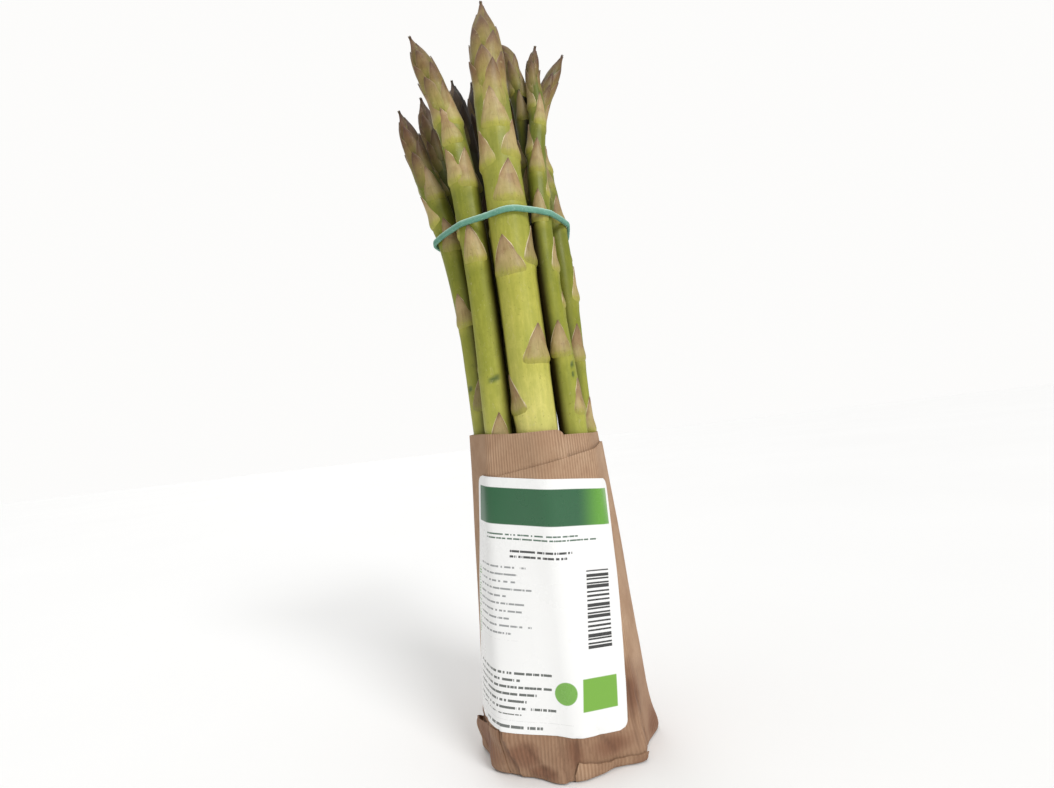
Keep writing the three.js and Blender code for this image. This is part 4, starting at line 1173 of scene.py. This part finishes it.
def floor_sheet():
    """The folded underside: a thin closed disc with radial pleats."""
    ring = np.arange(0, 360, SHEET_STEP)
    shares = np.linspace(0.02, 1, 12)
    rim = sleeve_inside(0, ring) + base_folds(0, ring) - corner_in(0.3) + 0.3
    grid_turn = np.broadcast_to(ring, (len(shares), len(ring)))
    reach = shares[:, None] * rim[None, :]
    pleats = 0.03 + 0.3 * np.abs(np.sin(np.radians(grid_turn * 4 + 40 * shares[:, None]))) * shares[:, None]
    points = [points_round(grid_turn, reach, pleats + up) for up in (0.0, 0.35)]
    sheet = np.column_stack([grid_turn.ravel() * MM_PER_DEGREE, np.zeros(grid_turn.size)])
    return np.vstack(points), shell_faces(len(shares), len(ring), True), np.vstack([sheet, sheet])


def make_sleeve():
    """The wound sheet: an inner ply with its floor, a flap from the left, an outer ply and folds."""
    ring = np.arange(0, 360, SHEET_STEP)

    def level(height):
        return lambda turns: np.full(len(turns), float(height))

    def edge(places, heights):
        return lambda turns: (np.interp(turns, places, heights) + 0.12 * np.sin(turns * 0.7)
                              + 0.1 * np.sin(turns * 0.31))

    inner = paper_sheet(ring, level(0.25), lambda turns: BACK_TOP + 0.25 * np.sin(np.radians(turns * 4)),
                        lambda z, turns: PLY_LIFT["inner"] + crumple(z, turns), rows=60, closed=True)
    flap_turns = np.arange(FLAP_ROOT, FLAP_EDGE + 0.01, 1.0)

    def flap_top(turns):
        corner = 3.0
        gap = np.clip((corner - (FLAP_EDGE - turns) * 0.42) / corner, 0, 1)
        return (FLAP_TOP + FLAP_TOP_RISE * (FLAP_EDGE - turns) - 0.3 - corner * (1 - np.sqrt(1 - gap**2))
                + 0.2 * np.sin(np.radians(turns * 5)))

    def flap_lift(z, turns):
        curl = 0.9 * step_up(turns, FLAP_EDGE - 10, FLAP_EDGE) * step_up(z, 60, 104)
        return PLY_LIFT["flap"] + crumple(z, turns) + curl

    flap = paper_sheet(flap_turns, level(0.9), flap_top, flap_lift, rows=76)
    outer_turns = np.arange(-56, 215, 1.25)

    def outer_lift(z, turns):
        loose = 0.25 * step_up(z, 80, 102) * (1 + np.sin(np.radians(turns * 3)))
        return PLY_LIFT["outer"] + crumple(z, turns) + loose

    outer = paper_sheet(outer_turns, level(0.35), outer_top, outer_lift, rows=76)

    def turned_up_lift(z, turns):
        return PLY_LIFT["turned_up"] + crumple(z, turns) + 0.5 * step_up(z, 0.5, 4)

    def ear_lift(z, turns):
        stands_out = 1.5 * bump(turns, -80, 20) * step_up(z, 3, 10)
        hollow = 0.5 * bump(turns, -62, 12) * step_up(z, 2, 9)
        return PLY_LIFT["ear"] + crumple(z, turns) + stands_out - hollow

    turned_up = paper_sheet(np.arange(0.5, 50, 0.75), level(0.3),
                            edge([0.5, 3.5, 12, 24, 40, 50], [2.4, 5.8, 4.6, 3.2, 2.9, 2.6]),
                            turned_up_lift, rows=14, pattern_rise=24)
    ear = paper_sheet(np.arange(-102, -44, 0.75), level(0.5),
                      edge([-102, -92, -84, -70, -44], [7, 9, 11.5, 13, 15.5]), ear_lift, rows=24)
    return join_sheets("paper_sleeve_fine", [inner, flap, outer, turned_up, ear, floor_sheet()])


# The label

def make_label():
    """The label as a thin sheet that follows the outer ply, turned a little clockwise."""
    columns, rows = 90, 120
    turn = math.radians(LABEL["turn"])
    arc = float(sleeve_inside(LABEL["middle_height"], LABEL["middle_angle"])) + LABEL_LIFT
    ups = np.linspace(-0.5, 0.5, rows) * LABEL["height"]
    edge = LABEL["height"] / 2 - np.abs(ups)
    corner = LABEL["corner"]
    cut = np.where(edge < corner, corner - np.sqrt(np.maximum(corner**2 - (corner - edge) ** 2, 0)), 0)
    half = LABEL["width"] / 2 - cut
    across = half[:, None] * np.linspace(-1, 1, columns)[None, :]
    up = np.broadcast_to(ups[:, None], across.shape)
    height = LABEL["middle_height"] + up * math.cos(turn) - across * math.sin(turn)
    along = across * math.cos(turn) + up * math.sin(turn)
    degrees = LABEL["middle_angle"]
    for _ in range(3):
        local = sleeve_inside(height, degrees) + LABEL_LIFT
        degrees = LABEL["middle_angle"] + np.degrees(along / (0.5 * (local + arc)))
    base = sleeve_inside(height, degrees) + crumple(height, degrees) * 0.8
    points = [points_round(degrees, base + skin, height) for skin in LABEL_SKINS]
    label = mesh_object("paper_label_fine", np.vstack(points), shell_faces(rows, columns))
    places = np.column_stack([across.ravel(), up.ravel()])
    store_places(label, "print", np.vstack([places, places]))
    return label


# The stage

def make_floor():
    """A large pale floor, just under the bunch."""
    half = FLOOR["half"]
    corners = ((-half, -half), (half, -half), (half, half), (-half, half))
    floor = mesh_object("floor", [(x, y, FLOOR["height"]) for x, y in corners], [(0, 1, 2, 3)], scale=1.0)
    made, wire, shader = material("Pale floor")
    tone = wire.mix(wire.noise(wire.own_place(), 3.0), (0.88, 0.88, 0.875, 1), (0.92, 0.92, 0.915, 1))
    wire.feed(shader.inputs["Base Color"], tone)
    shader.inputs["Roughness"].default_value = 0.8
    floor.data.materials.append(made)
    return floor


def make_world():
    """A soft white world, brighter where the camera sees it."""
    world = bpy.data.worlds.new("Soft studio")
    world.use_nodes = True
    wire = Wiring(world.node_tree)
    seen = wire.add("ShaderNodeLightPath").outputs["Is Camera Ray"]
    soft = world.node_tree.nodes["Background"].inputs
    soft[0].default_value = (1.0, 0.995, 0.985, 1)
    wire.feed(soft[1], wire.math("MULTIPLY_ADD", seen, 0.54, 0.44))
    return world


def make_lamp(name, place, spread, power):
    """A sun that shines from a place on the middle of the bunch."""
    lamp = bpy.data.lights.new(name, "SUN")
    lamp.angle = math.radians(spread)
    lamp.energy = power
    thing = add_object(name, lamp)
    thing.location = place
    thing.rotation_euler = (Vector(LIGHTS_AIM) - Vector(place)).to_track_quat("-Z", "Y").to_euler()


def make_camera():
    """The camera at the place found from the photograph."""
    tilt, roll = math.radians(CAMERA["tilt"]), math.radians(CAMERA["roll"])
    ahead = Vector((0, math.cos(tilt), math.sin(tilt)))
    level_up = Vector((0, -math.sin(tilt), math.cos(tilt)))
    right = Vector((1, 0, 0)) * math.cos(roll) - level_up * math.sin(roll)
    up = Vector((1, 0, 0)) * math.sin(roll) + level_up * math.cos(roll)
    camera = bpy.data.cameras.new("Camera")
    camera.sensor_width = 36
    camera.lens = camera.sensor_width * CAMERA["focal_px"] / CAMERA["frame_px"]
    camera.clip_start = 0.005
    thing = add_object("Camera", camera)
    turn = Matrix((right, up, -ahead)).transposed().to_4x4()
    thing.matrix_world = Matrix.Translation(Vector(CAMERA["place"]) * MM) @ turn
    return thing


# The add-on

class AsparagusSettings(bpy.types.PropertyGroup):
    """Sizes and colours of the bunch."""
    stem_sides: IntProperty(name="Stem sides", description="Faces round each stem", default=60, min=8,
                            max=96)
    blade_thickness: FloatProperty(name="Blade thickness", description="Thickness of bracts and scales",
                                   default=0.0003, unit="LENGTH")
    stem_tone: FloatVectorProperty(name="Stem tone", description="Multiplies the colour of the stems",
                                   default=(1.0, 1.0, 1.0), subtype="COLOR", max=2.0)
    bract_tone: FloatVectorProperty(name="Bract tone",
                                    description="Multiplies the colour of bracts and scales",
                                    default=(1.0, 1.0, 1.0), subtype="COLOR", max=2.0)
    band_thickness: FloatProperty(name="Band thickness", description="Thickness of the rubber band",
                                  default=0.0012, unit="LENGTH")
    band_width: FloatProperty(name="Band width", description="Height of the rubber band",
                              default=0.0021, unit="LENGTH")
    band_colour: FloatVectorProperty(name="Band colour", description="Colour of the rubber",
                                     default=(0.115, 0.31, 0.225), subtype="COLOR")
    paper_colour: FloatVectorProperty(name="Paper colour", description="Colour of the kraft paper",
                                      default=(0.49, 0.325, 0.205), subtype="COLOR")
    label_colour: FloatVectorProperty(name="Label colour", description="Colour of the label's paper",
                                      default=(0.88, 0.88, 0.87), subtype="COLOR")
    print_colour: FloatVectorProperty(name="Print colour", description="Colour of the label's green band",
                                      default=(0.016, 0.105, 0.038), subtype="COLOR")


def dress(piece, slot, *nodes):
    """Puts a finished piece on the frame in place of its plain nodes."""
    if not piece.data.polygons:
        raise RuntimeError(f"{piece.name} came out empty")
    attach(piece, "root")
    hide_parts(*nodes)


class ASPARAGUS_OT_spears(bpy.types.Operator):
    """Make the spears with their stems, bracts and buds"""
    bl_idname = "asparagus.spears"
    bl_label = "Make the spears"

    def execute(self, context):
        settings = context.scene.asparagus_bunch
        skin = fibres_group()
        stem = stem_material(skin, settings.stem_tone)
        bract = blade_material("Bract skin", skin, settings.bract_tone, [
            (0.0, (0.40, 0.39, 0.06)), (0.10, (0.41, 0.385, 0.075)), (0.19, (0.43, 0.36, 0.12)),
            (0.5, (0.47, 0.37, 0.155)), (0.85, (0.40, 0.28, 0.13)), (1.0, (0.24, 0.14, 0.07))],
            (0.72, 0.62, 0.38), 0.3, 0.9, 0.35)
        bud = blade_material("Bud skin", skin, settings.bract_tone, [
            (0.0, (0.24, 0.25, 0.035)), (0.25, (0.37, 0.335, 0.075)), (0.5, (0.37, 0.29, 0.09)),
            (0.78, (0.28, 0.185, 0.08)), (1.0, (0.15, 0.085, 0.04))], (0.42, 0.33, 0.18), 0.5, 0.5, 0.95)
        tree = spear_tree()
        blade = make_blade()
        random = np.random.default_rng(SEED)
        for name, spear in SPEARS.items():
            node = f"spear_{name}"
            piece = make_spear(node, spear, tree, blade, (stem, bract, bud), settings, random)
            dress(piece, "spear", node)
        bpy.data.objects.remove(blade, do_unlink=True)
        return {"FINISHED"}


class ASPARAGUS_OT_band(bpy.types.Operator):
    """Make the rubber band round the spears"""
    bl_idname = "asparagus.band"
    bl_label = "Make the band"

    def execute(self, context):
        settings = context.scene.asparagus_bunch
        turns = np.linspace(0, 2 * math.pi, 20, endpoint=False)
        bulge = np.sign(np.cos(turns)) * np.abs(np.cos(turns)) ** 0.6
        rise = np.sign(np.sin(turns)) * np.abs(np.sin(turns)) ** 0.6
        half_thick, half_wide = settings.band_thickness / 2, settings.band_width / 2
        outline = np.column_stack([bulge * half_thick, rise * half_wide, 0 * turns])
        section = line_object("section", outline, closed=True)
        loop = make_loop()
        tree = band_tree()
        modifier = loop.modifiers.new("Band", "NODES")
        modifier.node_group = tree
        keys = socket_keys(tree)
        modifier[keys["Section"]] = section
        modifier[keys["Rubber"]] = rubber_material(settings.band_colour)
        piece = made_real(loop, "rubber_band_fine")
        bpy.data.objects.remove(section, do_unlink=True)
        finish_shading(piece, 60)
        dress(piece, "band", "rubber_band")
        return {"FINISHED"}


class ASPARAGUS_OT_sleeve(bpy.types.Operator):
    """Make the kraft paper sleeve with its folded base"""
    bl_idname = "asparagus.sleeve"
    bl_label = "Make the sleeve"

    def execute(self, context):
        settings = context.scene.asparagus_bunch
        piece = make_sleeve()
        piece.data.materials.append(kraft_material(paper_fibres_group(), settings.paper_colour))
        finish_shading(piece, 45)
        dress(piece, "kraft_paper", "paper_sleeve")
        return {"FINISHED"}


class ASPARAGUS_OT_label(bpy.types.Operator):
    """Make the label on the front of the sleeve"""
    bl_idname = "asparagus.label"
    bl_label = "Make the label"

    def execute(self, context):
        settings = context.scene.asparagus_bunch
        piece = make_label()
        pulp = bpy.data.node_groups["Paper pulp"]
        piece.data.materials.append(label_material(pulp, settings.label_colour, settings.print_colour))
        finish_shading(piece, 45)
        dress(piece, "label_paper", "paper_label")
        return {"FINISHED"}


class ASPARAGUS_OT_stage(bpy.types.Operator):
    """Make the floor, the lights and the camera"""
    bl_idname = "asparagus.stage"
    bl_label = "Make the stage"

    def execute(self, context):
        scene = context.scene
        floor = make_floor()
        if not floor.data.polygons:
            raise RuntimeError("The floor came out empty")
        scene.view_settings.view_transform = "Standard"
        scene.world = make_world()
        for name, place, spread, power in LIGHTS:
            make_lamp(name, place, spread, power)
        scene.camera = make_camera()
        return {"FINISHED"}


class ASPARAGUS_PT_tools(bpy.types.Panel):
    """Lists the makers of the bunch's pieces"""
    bl_idname = "ASPARAGUS_PT_tools"
    bl_label = "Asparagus bunch"
    bl_space_type = "VIEW_3D"
    bl_region_type = "UI"
    bl_category = "Asparagus"

    def draw(self, context):
        for name in AsparagusSettings.__annotations__:
            self.layout.prop(context.scene.asparagus_bunch, name)
        for operator in OPERATORS:
            self.layout.operator(operator.bl_idname)


OPERATORS = (ASPARAGUS_OT_stage, ASPARAGUS_OT_spears, ASPARAGUS_OT_band, ASPARAGUS_OT_sleeve,
             ASPARAGUS_OT_label)
CLASSES = (AsparagusSettings, *OPERATORS, ASPARAGUS_PT_tools)


def register():
    for made in CLASSES:
        bpy.utils.register_class(made)
    bpy.types.Scene.asparagus_bunch = PointerProperty(type=AsparagusSettings)


def unregister():
    del bpy.types.Scene.asparagus_bunch
    for made in reversed(CLASSES):
        bpy.utils.unregister_class(made)


def main():
    register()
    bpy.ops.asparagus.stage()
    bpy.ops.asparagus.spears()
    bpy.ops.asparagus.band()
    bpy.ops.asparagus.sleeve()
    bpy.ops.asparagus.label()


if __name__ == "__main__":
    main()
